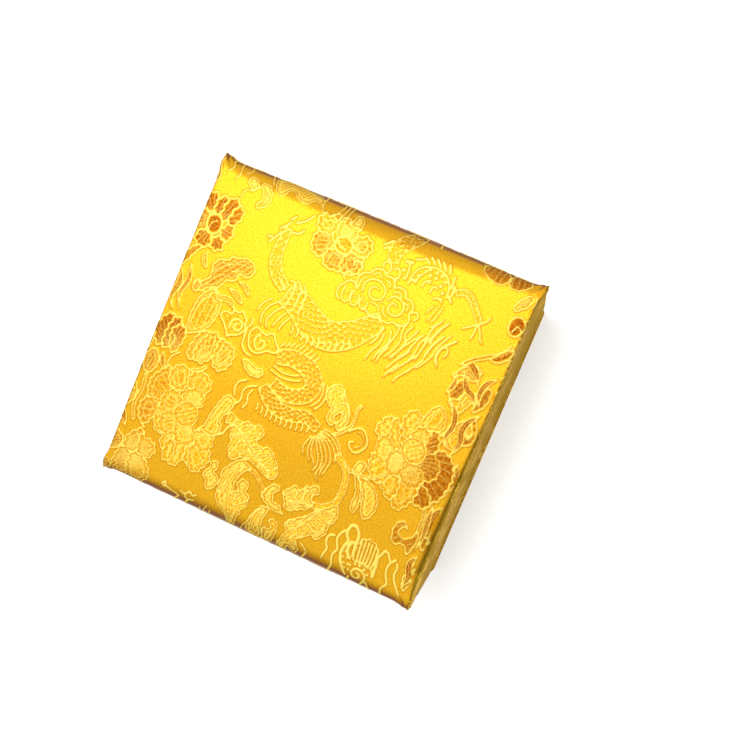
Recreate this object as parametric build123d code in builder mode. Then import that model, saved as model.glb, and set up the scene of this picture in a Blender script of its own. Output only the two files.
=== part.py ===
"""Brocade keepsake box: a padded lid hinged with cloth to a flat base board that carries a lined tray.

Millimetres. X runs along the hinge, +Y points to the hinge at the back, +Z up. The origin is on the
table, under the middle of the box.
"""

from build123d import *
import math
import os

os.makedirs("parts", exist_ok=True)

# Overall sizes
base_width = 130.0
base_depth = 115.6
box_height = 54.0

# Base board
base_card_thickness = 2.9
base_cloth_thickness = 0.4
base_corner_radius = 1.5
backing_paper_thickness = 0.3
backing_paper_margin = 2.0

# Lid outside: how it stands against the base board, and its padded form
seam_gap = 0.4
end_inset = 0.6
foot_inset = 0.6
roll_overhang = 6.6
ear_overhang = 5.8
roll_radius = 8.5
ear_radius = 4.5
middle_crown = 2.6
end_crown = 1.2
end_drop = 1.85
ear_flare_length = 13.0
brocade_thickness = 0.5

# Lid inside
lid_card_thickness = 2.0
foot_foam_thickness = 0.5
top_foam_thickness = 7.5
lid_lining_thickness = 0.4

# Padded panel inside the lid
lid_pad_card_thickness = 1.5
lid_pad_edge = 4.0
lid_pad_crown = 2.5
lid_pad_clearance = 0.3

# Tray
tray_height = 22.0
tray_card_thickness = 2.0
tray_cover_thickness = 0.4
tray_lining_thickness = 0.4
tray_front_clearance = 2.9
tray_end_clearance = 1.0

# Floor pad in the tray
floor_pad_card_thickness = 1.5
floor_pad_edge = 5.0
floor_pad_crown = 3.0
floor_pad_clearance = 0.3

# Both pads
pad_satin_thickness = 0.4
pad_drawn_in = 0.8
pad_end_share = 0.4

# Cloth hinge
hinge_cloth_thickness = 0.4
hinge_lining_thickness = 0.3
hinge_end_margin = 2.0
hinge_fit = 0.1
table_clearance = 0.3

# One overrun for every cut, and the places of the sections along each padded form
overrun = 3.0
section_shares = (-1.0, -0.5, 0.0, 0.5, 1.0)

# Heights from the table up
base_card_bottom = backing_paper_thickness + base_cloth_thickness
base_card_top = base_card_bottom + base_card_thickness
base_top = base_card_top + base_cloth_thickness
lid_bottom = base_top + seam_gap
lid_board_top = box_height - brocade_thickness - top_foam_thickness
lid_board_bottom = lid_board_top - lid_card_thickness
tray_top = base_top + tray_height

# Half sizes of the lid, from the outside in
end_half = base_width / 2 - end_inset
ear_half_width = base_width / 2
foot_half = base_depth / 2 - foot_inset
roll_half = base_depth / 2 + roll_overhang
ear_half_depth = base_depth / 2 + ear_overhang
lid_card_half_width = end_half - brocade_thickness
lid_card_half_depth = foot_half - brocade_thickness - foot_foam_thickness
lid_inner_half_width = lid_card_half_width - lid_card_thickness
lid_inner_half_depth = lid_card_half_depth - lid_card_thickness
lid_room_half_width = lid_inner_half_width - lid_lining_thickness
lid_room_half_depth = lid_inner_half_depth - lid_lining_thickness

# Half sizes of the tray, from the outside in
tray_half_width = lid_room_half_width - tray_end_clearance
tray_half_depth = lid_room_half_depth - tray_front_clearance
tray_card_half_width = tray_half_width - tray_cover_thickness
tray_card_half_depth = tray_half_depth - tray_cover_thickness
tray_inner_half_width = tray_card_half_width - tray_card_thickness
tray_inner_half_depth = tray_card_half_depth - tray_card_thickness
tray_room_half_width = tray_inner_half_width - tray_lining_thickness
tray_room_half_depth = tray_inner_half_depth - tray_lining_thickness

# The hinge line lies on the outer face of the hinge cloth, in the seam
hinge_y = base_depth / 2 + hinge_cloth_thickness
hinge_z = base_top + seam_gap / 2


def save(piece, name):
    """Labels a finished piece and writes its STEP file."""
    piece.part.label = name
    export_step(piece.part, f"parts/{name}.step")


def between(middle, end, share):
    """A size that goes from its middle value to its end value with the square of the share."""
    return middle + (end - middle) * share * share


def lid_profile(share, skin, foot_drop):
    """The lid's outline across one section, drawn in by the skin and run down by the foot drop."""
    height = box_height - end_drop * share * share - skin
    crown = between(middle_crown, end_crown, share)
    bulge = between(roll_half, ear_half_depth, share) - skin
    foot = foot_half - skin
    radius = between(roll_radius, ear_radius, share) - skin
    lean = 2 * math.atan(crown / (bulge - radius))
    edge_y = bulge - radius + radius * math.sin(lean)
    edge_z = height - crown
    roll_z = edge_z - radius * math.cos(lean)
    with BuildSketch(Plane.YZ.offset(share * (ear_half_width + overrun))) as profile:
        with BuildLine():
            ThreePointArc((-edge_y, edge_z), (0, height), (edge_y, edge_z))
            for side in (-1, 1):
                TangentArc((side * bulge, roll_z), (side * edge_y, edge_z), tangent=(0, 1))
                TangentArc((side * bulge, roll_z), (side * foot, lid_bottom), tangent=(0, -1))
                if foot_drop > 0:
                    Line((side * foot, lid_bottom), (side * foot, lid_bottom - foot_drop))
            Line((-foot, lid_bottom - foot_drop), (foot, lid_bottom - foot_drop))
        make_face()
    return profile.sketch


def lid_plan(skin, foot_drop):
    """The lid seen from above: straight ends that flare out into pointed ears at the corners."""
    end = end_half - skin
    ear = ear_half_width - skin
    flare_y = ear_half_depth - ear_flare_length
    reach = ear_half_depth + overrun
    with BuildSketch(Plane.XY.offset(lid_bottom - foot_drop)) as plan:
        with BuildLine():
            for side in (-1, 1):
                Line((side * end, -flare_y), (side * end, flare_y))
                for way in (-1, 1):
                    tip_y = way * (ear_half_depth - skin)
                    TangentArc((side * end, way * flare_y), (side * ear, tip_y), tangent=(0, way))
                    Line((side * ear, tip_y), (side * ear, way * reach))
            for way in (-1, 1):
                Line((-ear, way * reach), (ear, way * reach))
        make_face()
    return plan.sketch


def cushion_sections(half_length, half_depth, seat, edge, crown, way):
    """Sections of a pad: flat where it is glued, crowned, its long sides drawn in between its ends."""
    sections = []
    for share in section_shares:
        side = half_depth - pad_drawn_in * (1 - share * share)
        shoulder = seat + way * between(edge, edge * pad_end_share, share)
        top = shoulder + way * between(crown, crown * pad_end_share, share)
        with BuildSketch(Plane.YZ.offset(share * half_length)) as section:
            with BuildLine():
                Line((-side, seat), (side, seat))
                Line((-side, seat), (-side, shoulder))
                Line((side, seat), (side, shoulder))
                ThreePointArc((-side, shoulder), (0, top), (side, shoulder))
            make_face()
        sections.append(section.sketch)
    return sections


def ring(outer, inner, bottom):
    """A flat rectangular ring. Outer and inner are half width and half depth."""
    with BuildSketch(Plane.XY.offset(bottom)) as flat_ring:
        Rectangle(2 * outer[0], 2 * outer[1])
        Rectangle(2 * inner[0], 2 * inner[1], mode=Mode.SUBTRACT)
    return flat_ring.sketch


def card(name, half_width, half_depth, bottom, thickness):
    """A flat rectangular card, centred on the box."""
    with BuildPart() as board:
        with BuildSketch(Plane.XY.offset(bottom)):
            Rectangle(2 * half_width, 2 * half_depth)
        extrude(amount=thickness)
    save(board, name)


def four_walls(prefix, half_width, half_depth, thickness, bottom, top):
    """Four card walls: the front and back run the full width, and the ends stand between them."""
    end_depth = 2 * (half_depth - thickness)
    places = {
        "front": (0, -half_depth + thickness / 2, 2 * half_width, thickness),
        "back": (0, half_depth - thickness / 2, 2 * half_width, thickness),
        "left": (-half_width + thickness / 2, 0, thickness, end_depth),
        "right": (half_width - thickness / 2, 0, thickness, end_depth),
    }
    for side, (x, y, width, depth) in places.items():
        with BuildPart() as wall:
            with BuildSketch(Plane.XY.offset(bottom)):
                with Locations((x, y)):
                    Rectangle(width, depth)
            extrude(amount=top - bottom)
        save(wall, f"{prefix}_{side}")


# Base board, with its cloth wrapped round it and a paper underneath
base_card_width = base_width - 2 * base_cloth_thickness
base_card_depth = base_depth - 2 * base_cloth_thickness
base_card_radius = base_corner_radius - base_cloth_thickness

with BuildPart() as base_board:
    with BuildSketch(Plane.XY.offset(base_card_bottom)):
        RectangleRounded(base_card_width, base_card_depth, base_card_radius)
    extrude(amount=base_card_thickness)
save(base_board, "base_board")

with BuildPart() as base_cloth:
    with BuildSketch(Plane.XY.offset(backing_paper_thickness)):
        RectangleRounded(base_width, base_depth, base_corner_radius)
    extrude(amount=base_top - backing_paper_thickness)
    with BuildSketch(Plane.XY.offset(base_card_bottom)):
        RectangleRounded(base_card_width, base_card_depth, base_card_radius)
    extrude(amount=base_card_thickness, mode=Mode.SUBTRACT)
save(base_cloth, "base_cloth")

paper_half_width = base_width / 2 - backing_paper_margin
paper_half_depth = base_depth / 2 - backing_paper_margin
card("base_backing_paper", paper_half_width, paper_half_depth, 0, backing_paper_thickness)

# Tray
four_walls(
    "tray_wall", tray_card_half_width, tray_card_half_depth, tray_card_thickness, base_top, tray_top
)

with BuildPart() as tray_cover:
    outer = (tray_half_width, tray_half_depth)
    extrude(ring(outer, (tray_card_half_width, tray_card_half_depth), base_top), amount=tray_height)
    rim = ring(outer, (tray_room_half_width, tray_room_half_depth), tray_top)
    extrude(rim, amount=tray_cover_thickness)
save(tray_cover, "tray_cover")

with BuildPart() as tray_lining:
    outer = (tray_inner_half_width, tray_inner_half_depth)
    extrude(ring(outer, (tray_room_half_width, tray_room_half_depth), base_top), amount=tray_height)
save(tray_lining, "tray_lining")

# Floor pad
floor_half_width = tray_room_half_width - floor_pad_clearance
floor_half_depth = tray_room_half_depth - floor_pad_clearance
floor_foam_half_width = floor_half_width - pad_satin_thickness
floor_foam_half_depth = floor_half_depth - pad_satin_thickness
floor_seat = base_top + floor_pad_card_thickness

card("floor_pad_board", floor_foam_half_width, floor_foam_half_depth, base_top, floor_pad_card_thickness)

with BuildPart() as floor_pad_foam:
    loft(cushion_sections(
        floor_foam_half_width,
        floor_foam_half_depth,
        floor_seat,
        floor_pad_edge,
        floor_pad_crown,
        1,
    ))
save(floor_pad_foam, "floor_pad_foam")

with BuildPart() as floor_pad_satin:
    loft(cushion_sections(
        floor_half_width,
        floor_half_depth,
        floor_seat,
        floor_pad_edge + pad_satin_thickness,
        floor_pad_crown,
        1,
    ))
    add(floor_pad_foam.part, mode=Mode.SUBTRACT)
save(floor_pad_satin, "floor_pad_satin")

# Card case of the lid
four_walls(
    "lid_wall",
    lid_card_half_width,
    lid_card_half_depth,
    lid_card_thickness,
    lid_bottom,
    lid_board_bottom,
)
card("lid_board", lid_card_half_width, lid_card_half_depth, lid_board_bottom, lid_card_thickness)

with BuildPart() as lid_wall_lining:
    outer = (lid_inner_half_width, lid_inner_half_depth)
    faces = ring(outer, (lid_room_half_width, lid_room_half_depth), lid_bottom)
    extrude(faces, amount=lid_board_bottom - lid_bottom)
save(lid_wall_lining, "lid_wall_lining")

# Padded cover of the lid: the patterned skin, and the foam that fills it round the card case
with BuildPart() as lid_filling:
    loft([lid_profile(share, brocade_thickness, overrun) for share in section_shares])
    extrude(lid_plan(brocade_thickness, overrun), amount=box_height, mode=Mode.INTERSECT)

with BuildPart() as lid_brocade:
    loft([lid_profile(share, 0, 0) for share in section_shares])
    extrude(lid_plan(0, 0), amount=box_height, mode=Mode.INTERSECT)
    add(lid_filling.part, mode=Mode.SUBTRACT)
save(lid_brocade, "lid_brocade")

with BuildPart() as lid_foam_top:
    add(lid_filling.part)
    split(bisect_by=Plane.XY.offset(lid_board_top), keep=Keep.TOP)
save(lid_foam_top, "lid_foam_top")

for side, facing in (("front", -1), ("back", 1)):
    with BuildPart() as lid_foam_roll:
        add(lid_filling.part)
        split(bisect_by=Plane.XY.offset(lid_board_top), keep=Keep.BOTTOM)
        split(bisect_by=Plane.XY.offset(lid_bottom), keep=Keep.TOP)
        card_face = Plane(origin=(0, facing * lid_card_half_depth, 0), z_dir=(0, facing, 0))
        split(bisect_by=card_face, keep=Keep.TOP)
    save(lid_foam_roll, f"lid_foam_{side}")

# Padded panel inside the lid
lid_pad_half_width = lid_room_half_width - lid_pad_clearance
lid_pad_half_depth = lid_room_half_depth - lid_pad_clearance
lid_pad_foam_half_width = lid_pad_half_width - pad_satin_thickness
lid_pad_foam_half_depth = lid_pad_half_depth - pad_satin_thickness
lid_pad_seat = lid_board_bottom - lid_pad_card_thickness

card("lid_pad_board", lid_pad_foam_half_width, lid_pad_foam_half_depth, lid_pad_seat, lid_pad_card_thickness)

with BuildPart() as lid_pad_foam:
    loft(cushion_sections(
        lid_pad_foam_half_width,
        lid_pad_foam_half_depth,
        lid_pad_seat,
        lid_pad_edge,
        lid_pad_crown,
        -1,
    ))
save(lid_pad_foam, "lid_pad_foam")

with BuildPart() as lid_pad_satin:
    loft(cushion_sections(
        lid_pad_half_width,
        lid_pad_half_depth,
        lid_pad_seat,
        lid_pad_edge + pad_satin_thickness,
        lid_pad_crown,
        -1,
    ))
    add(lid_pad_foam.part, mode=Mode.SUBTRACT)
save(lid_pad_satin, "lid_pad_satin")

# Cloth hinge: brocade on the board's back edge outside, satin along the foot of the lid's back wall inside
with BuildPart() as hinge_cloth:
    with BuildSketch(Plane.XY.offset(base_card_bottom)):
        with Locations((0, base_depth / 2 + hinge_cloth_thickness / 2)):
            Rectangle(base_width - 2 * hinge_end_margin, hinge_cloth_thickness)
    extrude(amount=hinge_z - hinge_fit - base_card_bottom)
save(hinge_cloth, "hinge_cloth")

lining_front = tray_half_depth + hinge_fit
lining_back = lid_room_half_depth - hinge_fit
with BuildPart() as hinge_lining:
    with BuildSketch(Plane.XY.offset(base_top)):
        with Locations((0, (lining_front + lining_back) / 2)):
            Rectangle(2 * (lid_room_half_width - hinge_fit), lining_back - lining_front)
    extrude(amount=hinge_lining_thickness)
save(hinge_lining, "hinge_lining")

# The lid swings back until the padded back comes down to the table
open_angles = []
for share in section_shares:
    radius = between(roll_radius, ear_radius, share)
    crown = between(middle_crown, end_crown, share)
    rise = box_height - end_drop * share * share - crown - radius - hinge_z
    reach_back = between(roll_half, ear_half_depth, share) - radius - hinge_y
    fall = hinge_z - table_clearance - radius
    span = math.hypot(rise, reach_back)
    open_angles.append(math.degrees(math.atan2(rise, reach_back) + math.asin(fall / span)))
open_angle = min(open_angles)
tray_corner = math.hypot(hinge_y + tray_half_depth, tray_top + tray_cover_thickness - hinge_z)

print("hinge line y, z:", round(hinge_y, 3), round(hinge_z, 3))
print("lid opens to", round(open_angle, 2), "degrees")
print("tray corner clears the lid's front by", round(hinge_y + lid_room_half_depth - tray_corner, 3))
print("inside of tray: half width", round(tray_room_half_width, 3), "half depth", round(tray_room_half_depth, 3))
print("floor pad top", round(floor_seat + floor_pad_edge + pad_satin_thickness + floor_pad_crown, 3))
print("lid pad bottom", round(lid_pad_seat - lid_pad_edge - pad_satin_thickness - lid_pad_crown, 3))
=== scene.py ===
"""Dresses the brocade keepsake box: patterned covers, satin linings, padded panels, floor, lamps and camera.

The cloth's picture is drawn here as lines and filled forms in millimetres on the flat cloth, and is
carried to the meshes as attributes. Lengths inside the functions are millimetres, and meshes are metres.
"""

import math

import bmesh
import bpy
import numpy as np
from bpy.props import FloatProperty, FloatVectorProperty, PointerProperty
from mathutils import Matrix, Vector


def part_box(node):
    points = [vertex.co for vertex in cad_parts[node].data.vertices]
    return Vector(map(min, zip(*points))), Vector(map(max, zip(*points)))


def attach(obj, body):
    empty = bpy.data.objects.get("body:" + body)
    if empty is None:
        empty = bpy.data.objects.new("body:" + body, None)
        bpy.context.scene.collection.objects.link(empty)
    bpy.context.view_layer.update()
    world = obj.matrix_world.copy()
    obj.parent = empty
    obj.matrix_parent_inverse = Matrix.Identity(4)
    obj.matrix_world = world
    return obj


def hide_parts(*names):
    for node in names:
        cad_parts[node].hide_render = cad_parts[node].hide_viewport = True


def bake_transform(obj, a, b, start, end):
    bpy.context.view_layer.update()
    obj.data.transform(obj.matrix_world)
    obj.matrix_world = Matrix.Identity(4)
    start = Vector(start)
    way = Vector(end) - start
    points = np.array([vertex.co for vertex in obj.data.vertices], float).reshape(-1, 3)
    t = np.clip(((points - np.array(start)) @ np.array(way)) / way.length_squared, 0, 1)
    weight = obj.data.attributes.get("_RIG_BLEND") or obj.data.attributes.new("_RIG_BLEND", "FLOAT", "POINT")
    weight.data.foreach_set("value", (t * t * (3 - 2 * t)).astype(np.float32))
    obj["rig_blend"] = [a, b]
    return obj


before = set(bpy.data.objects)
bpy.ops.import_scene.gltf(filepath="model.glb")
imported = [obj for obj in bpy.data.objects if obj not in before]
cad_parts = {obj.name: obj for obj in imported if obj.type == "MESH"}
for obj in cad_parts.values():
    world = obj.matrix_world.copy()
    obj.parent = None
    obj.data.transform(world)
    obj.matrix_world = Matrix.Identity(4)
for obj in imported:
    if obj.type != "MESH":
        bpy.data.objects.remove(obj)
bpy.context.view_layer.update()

bl_info = {
    "name": "Brocade Box",
    "version": (1, 0, 0),
    "blender": (4, 5, 0),
    "location": "3D View > Sidebar > Brocade Box",
    "description": "Dresses a padded keepsake box in woven brocade and satin",
    "category": "Object",
}

MM = 0.001


def node_box(name):
    """Lowest and highest corner of a CAD node in millimetres."""
    low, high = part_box(name)
    return np.array(low) / MM, np.array(high) / MM


def linear(code):
    """An sRGB hex colour as the linear values that Blender works in."""
    parts = [int(code[i:i + 2], 16) / 255 for i in (0, 2, 4)]
    return tuple(p / 12.92 if p <= 0.04045 else ((p + 0.055) / 1.055) ** 2.4 for p in parts)


def colour(label, code, about):
    """A colour property whose default is given as an sRGB hex code."""
    return FloatVectorProperty(
        name=label, description=about, subtype="COLOR", size=3, min=0, max=1, default=linear(code)
    )


def size(label, value, about):
    """A length property in metres."""
    return FloatProperty(name=label, description=about, unit="LENGTH", default=value, min=0, precision=5)


def lengths(path):
    """How far each point of a flat path lies along it."""
    return np.concatenate([[0], np.cumsum(np.hypot(*np.diff(path, axis=0).T))])


class LidForm(bpy.types.PropertyGroup):
    """How the padded lid is formed. The overall sizes come from the frame."""

    middle_roll: size("Roll radius", 0.0085, "Radius of the front and back roll in the middle")
    ear_roll: size("Ear radius", 0.0045, "Radius of the roll where it ends in an ear")
    middle_crown: size("Middle crown", 0.0026, "Rise of the top between the rolls, in the middle")
    end_crown: size("End crown", 0.0012, "Rise of the top between the rolls, at the ends")
    end_drop: size("End drop", 0.00185, "How much lower the top is at its ends")
    flare_length: size("Ear length", 0.013, "Length over which an end flares out to its ear")
    flare: size("Ear reach", 0.0006, "How far an ear stands out past the end")
    ear_draw: size("Ear draw", 0.0008, "How far the roll draws in from its middle to its ears")
    ear_point: size("Ear point", 0.0017, "How far the corners are pulled out into points")
    foot_inset: size("Foot inset", 0.0006, "How far the cover's foot stands inside the base's edge")
    edge: size("End edge radius", 0.0009, "Rounding of the crisp end edges")
    soft_edge: size("Soft edge radius", 0.0034, "Rounding of the right end edge towards the front")
    pitch: size("Mesh pitch", 0.00045, "Spacing of the mesh that carries the woven picture")


class WeaveLook(bpy.types.PropertyGroup):
    """Colours and relief of the brocade, with the colours of its painted shade."""

    ground: colour("Ground", "FFCA26", "Warp satin ground")
    # Painted shadow on the ground beside the raised floats.
    painted_float_shadow: colour("Hollows", "E8CE8C", "Shade on the ground beside the floats")
    float_thread: colour("Floats", "FFE268", "Pale weft floats that draw the outlines")
    petal: colour("Petals", "FFD634", "Weft-faced filling of petals and leaves")
    deep_petal: colour("Petal gaps", "EE9C18", "Warp that shows between the floats of a filling")
    # Painted shade: fillings drawn with a high shade, mostly near the left and right edges, are darkened
    # where the weft's sheen falls away.
    painted_shade_petal: colour("Dark petals", "A44C08", "Filling where the brown weft comes to the face")
    glance: colour("Glance", "FFD47C", "Tint of the cloth's shine")
    # Painted shade: the ground is painted dark brown where the cloth turns over the front and back rolls.
    painted_roll_shade: colour("Turned ground", "6E3602", "Ground where the cloth turns over a roll")
    # Painted shade on the floats over the rolls, lighter than on the ground.
    painted_roll_shade_float: colour("Turned floats", "F0CE50", "Floats where the cloth turns over a roll")
    # Painted shade: the upright front and back are painted a darker gold than the top.
    wall: colour("Wall ground", "BC8A16", "Ground on the upright front and back")
    # Painted shade: the ends are painted a dim olive gold, darker than the top.
    end: colour("End ground", "96801A", "Ground on the ends, across the warp")
    # Painted shade on the floats on the ends.
    painted_end_shade_float: colour("End floats", "B29C40", "Floats on the ends")
    relief: size("Float relief", 0.00016, "How far the floats stand up from the ground")
    spacing: size("Thread spacing", 0.00032, "Distance between threads, drawn coarse enough to show")


class SatinLook(bpy.types.PropertyGroup):
    """Colours of the lining."""

    lining: colour("Lining", "E9BD4C", "Plain satin lining and padded panels")
    card: colour("Card", "8C8578", "Grey board")
    paper: colour("Backing paper", "C79B4A", "Paper under the base board")


class StageLook(bpy.types.PropertyGroup):
    """Floor, lamps and camera."""

    floor: colour("Floor", "F4F4F2", "Plain pale floor")
    lamp_power: FloatProperty(
        name="Lamp power", description="Power of the overhead lamp", default=3.9, unit="POWER"
    )
    lamp_size: size("Lamp size", 0.46, "Width of the overhead lamp")
    lamp_place: FloatVectorProperty(
        name="Lamp place", description="Where the lamp hangs", subtype="TRANSLATION", unit="LENGTH",
        default=(-0.19, 0.15, 0.784),
    )
    fill: FloatProperty(name="Fill", description="Brightness of the surroundings", default=0.56, min=0)
    lens: FloatProperty(name="Lens", description="Focal length in millimetres", default=52.8, unit="CAMERA")


FIELD_LIMIT = 1.6
CLOTH_HALF = np.array([118.0, 124.0])
CLOTH_PITCH = 0.3
WEIGHT, SHELL_WEIGHT = 0.66, 0.85
RIB_HALF, STEM_HALF, SCALE_HALF, LEAF_HALF = 0.24, 0.36, 0.15, 0.42
LOBE_LENGTH, LOBE_INWARD_SHARE = 3.0, 0.4
DARK = 0.7
TINY = 1e-9


def smooth_path(points, closed=False, step=0.7):
    """A smooth line through given points, as short straight pieces. Millimetres on the cloth."""
    knots = np.array(points, float)
    if closed:
        knots = np.vstack([knots[-1], knots, knots[0], knots[1]])
    else:
        knots = np.vstack([2 * knots[0] - knots[1], knots, 2 * knots[-1] - knots[-2]])
    path = []
    for before, start, end, after in zip(knots[:-3], knots[1:-2], knots[2:-1], knots[3:]):
        count = max(2, math.ceil(np.hypot(*(end - start)) / step))
        t = np.linspace(0, 1, count, endpoint=False)[:, None]
        path.append(
            start
            + 0.5 * t * (end - before)
            + 0.5 * t * t * (2 * before - 5 * start + 4 * end - after)
            + 0.5 * t * t * t * (3 * start - before - 3 * end + after)
        )
    path.append(knots[-2:-1])
    return np.vstack(path)


def scalloped(path, depth):
    """A closed path with small round lobes along it."""
    run = np.gradient(path, axis=0)
    far = lengths(path)
    count = max(3, round(far[-1] / LOBE_LENGTH))
    out = np.stack([run[:, 1], -run[:, 0]], 1) / np.maximum(np.hypot(run[:, 0], run[:, 1]), TINY)[:, None]
    turn = (path[:-1, 0] * path[1:, 1] - path[1:, 0] * path[:-1, 1]).sum()
    rise = depth * (np.abs(np.sin(math.pi * count * far / far[-1])) - LOBE_INWARD_SHARE)
    bent = path + out * np.sign(turn) * rise[:, None]
    bent[-1] = bent[0]
    return bent


def beside(u, v, start, end):
    """Which share of a straight piece lies nearest to each cell, and how far off the cell is."""
    run = end - start
    share = ((u - start[0]) * run[0] + (v - start[1]) * run[1]) / max(run @ run, TINY)
    share = np.clip(share, 0, 1)
    return share, np.hypot(u - start[0] - share * run[0], v - start[1] - share * run[1])


class Loom:
    """The woven picture as fields over the flat cloth. Each field is a distance in millimetres, above
    zero inside what is drawn: pale float lines, filled petals, and the ribs in them. Shade darkens a
    petal. Weight is the share of a drawn line's width that is woven."""

    def __init__(self, half, pitch, weight):
        self.half, self.pitch, self.weight = half, pitch, weight
        self.columns, self.rows = (int(round(2 * side / pitch)) + 1 for side in half)
        shape = (self.rows, self.columns)
        self.line, self.petal, self.rib = (np.full(shape, -FIELD_LIMIT, np.float32) for _ in range(3))
        self.shade = np.zeros(shape, np.float32)

    def window(self, points):
        """The part of the raster round some points, and where its cells lie on the cloth."""
        low = np.floor((points.min(0) - FIELD_LIMIT + self.half) / self.pitch).astype(int)
        high = np.ceil((points.max(0) + FIELD_LIMIT + self.half) / self.pitch).astype(int) + 1
        low = np.maximum(low, 0)
        high = np.minimum(high, (self.columns, self.rows))
        if (high <= low).any():
            return None
        u = np.arange(low[0], high[0]) * self.pitch - self.half[0]
        v = np.arange(low[1], high[1]) * self.pitch - self.half[1]
        return (slice(low[1], high[1]), slice(low[0], high[0])), u[None, :], v[:, None]

    def draw(self, field, path, halves, limit=None):
        """Raises a field along a path of changing half width. A limit keeps it inside a drawn shape."""
        for start, end, half_start, half_end in zip(path[:-1], path[1:], halves[:-1], halves[1:]):
            found = self.window(np.array([start, end]))
            if found is None:
                continue
            place, u, v = found
            share, away = beside(u, v, start, end)
            value = half_start + (half_end - half_start) * share - away
            if limit is not None:
                value = np.minimum(value, limit[place])
            field[place] = np.maximum(field[place], value)

    def stroke(self, points, half=0.4, start=1.0, end=1.0):
        """A pale float line. Start and end give the share of its width left at each end."""
        path = smooth_path(points)
        run = np.linspace(0, 1, len(path))
        halves = half * self.weight * np.minimum(1, np.minimum(start + 5 * run, end + 5 * (1 - run)))
        self.draw(self.line, path, halves)

    def shape(self, points, shade=0.0, half=0.4, gap=0.3, smooth=True, scallop=0.0, inner=0.0, filled=True):
        """A filled form with a pale outline, and a thin line of ground between the two. It hides what it
        covers, as a petal in front does. Scallop is the depth of small lobes round the outline, and inner
        how deep a second line lies. An unfilled form shows the ground. Returns how far inside the fill
        each cell is."""
        path = smooth_path(points, True) if smooth else points
        if scallop:
            path = scalloped(path, scallop)
        half = half * self.weight
        place, u, v = self.window(path)
        away = np.full((v.size, u.size), np.inf)
        inside = np.zeros((v.size, u.size), bool)
        for start, end in zip(path[:-1], path[1:]):
            away = np.minimum(away, beside(u, v, start, end)[1])
            if start[1] != end[1]:
                crosses = (start[1] <= v) != (end[1] <= v)
                at = start[0] + (v - start[1]) / (end[1] - start[1]) * (end[0] - start[0])
                inside ^= crosses & (u < at)
        depth = np.where(inside, away, -away)
        for field in (self.line, self.rib, self.petal):
            field[place] = np.where(depth > 0, np.minimum(field[place], -depth), field[place])
        self.line[place] = np.maximum(self.line[place], half - np.abs(depth - half))
        fill = depth - 2 * half - gap
        if filled:
            self.petal[place] = np.maximum(self.petal[place], fill)
        self.shade[place] = np.where(depth > 0, shade, self.shade[place])
        if inner:
            second = np.minimum(RIB_HALF - np.abs(depth - inner), fill)
            self.rib[place] = np.maximum(self.rib[place], second)
        whole = np.full(self.line.shape, -FIELD_LIMIT, np.float32)
        whole[place] = fill
        return whole

    def middle_rib(self, inside, points):
        """A fine rib along a shape, kept inside it."""
        path = smooth_path(points)
        self.draw(self.rib, path, np.full(len(path), RIB_HALF), inside)

    def cells(self, inside):
        """The part of the raster that a shape fills, and where its cells lie on the cloth."""
        found = np.argwhere(inside > -FIELD_LIMIT)
        (top, left), (end, right) = found.min(0), found.max(0) + 1
        u = np.arange(left, right) * self.pitch - self.half[0]
        v = np.arange(top, end) * self.pitch - self.half[1]
        return (slice(top, end), slice(left, right)), u, v[:, None]

    def add_ribs(self, inside, place, near):
        """Raises the ribs of a shape, from how far off each cell's nearest rib is."""
        value = np.minimum(RIB_HALF - near, inside[place])
        self.rib[place] = np.maximum(self.rib[place], value)

    def hatch(self, inside, turn, spacing, bend=0.0):
        """Parallel ribs inside a shape, turned by degrees and bent a little, as twill floats lie."""
        place, u, v = self.cells(inside)
        c, s = math.cos(math.radians(turn)), math.sin(math.radians(turn))
        along, across = u * c + v * s, v * c - u * s
        middle = along.mean()
        across = across + bend * (along - middle) ** 2 / 10
        self.add_ribs(inside, place, np.abs((across / spacing) % 1 - 0.5) * spacing)

    def fan(self, inside, base, count):
        """Ribs that spread from a base point through a shape, count of them to a full turn."""
        place, u, v = self.cells(inside)
        u, v = u - base[0], v - base[1]
        turn = np.arctan2(v, u) / (2 * math.pi) * count
        self.add_ribs(inside, place, np.abs(turn % 1 - 0.5) / count * 2 * math.pi * np.hypot(u, v))

    def sample(self, field, u, v):
        """A field at any points of the cloth."""
        across = np.clip((u + self.half[0]) / self.pitch, 0, self.columns - 1.001)
        along = np.clip((v + self.half[1]) / self.pitch, 0, self.rows - 1.001)
        i, j = across.astype(int), along.astype(int)
        a, b = across - i, along - j
        low = field[j, i] * (1 - a) + field[j, i + 1] * a
        high = field[j + 1, i] * (1 - a) + field[j + 1, i + 1] * a
        return low * (1 - b) + high * b


def ring_round(points, halves, step=0.5):
    """A smooth path through points, its direction, its side, and the ring of a band round it."""
    path = smooth_path(points, step=step)
    halves = np.interp(np.linspace(0, 1, len(path)), np.linspace(0, 1, len(halves)), halves)
    run = np.gradient(path, axis=0)
    run = run / np.hypot(run[:, 0], run[:, 1])[:, None]
    side = np.stack([-run[:, 1], run[:, 0]], 1)
    ring = np.vstack([path + side * halves[:, None], (path - side * halves[:, None])[::-1]])
    return path, run, side, halves, np.vstack([ring, ring[:1]])


def draw_stem(loom, points, width=2.2, shade=0.0):
    """A stem: two pale lines with a filled band between them."""
    loom.shape(ring_round(points, [width / 2, width / 2])[-1], shade, STEM_HALF, 0.1, smooth=False)


BLADE_SHARES = (0.08, 0.6, 0.9, 1.0, 0.96, 0.86, 0.66, 0.3, 0.06)


def draw_blades(loom, blades, shade=0.0):
    """Lobes of a leaf: bands that swell and taper, each with a middle rib. Each is its points and width."""
    for points, width in blades:
        ring = ring_round(points, [width / 2 * share for share in BLADE_SHARES])[-1]
        inside = loom.shape(ring, shade, STEM_HALF, 0.12, smooth=False)
        loom.middle_rib(inside, points)


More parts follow.
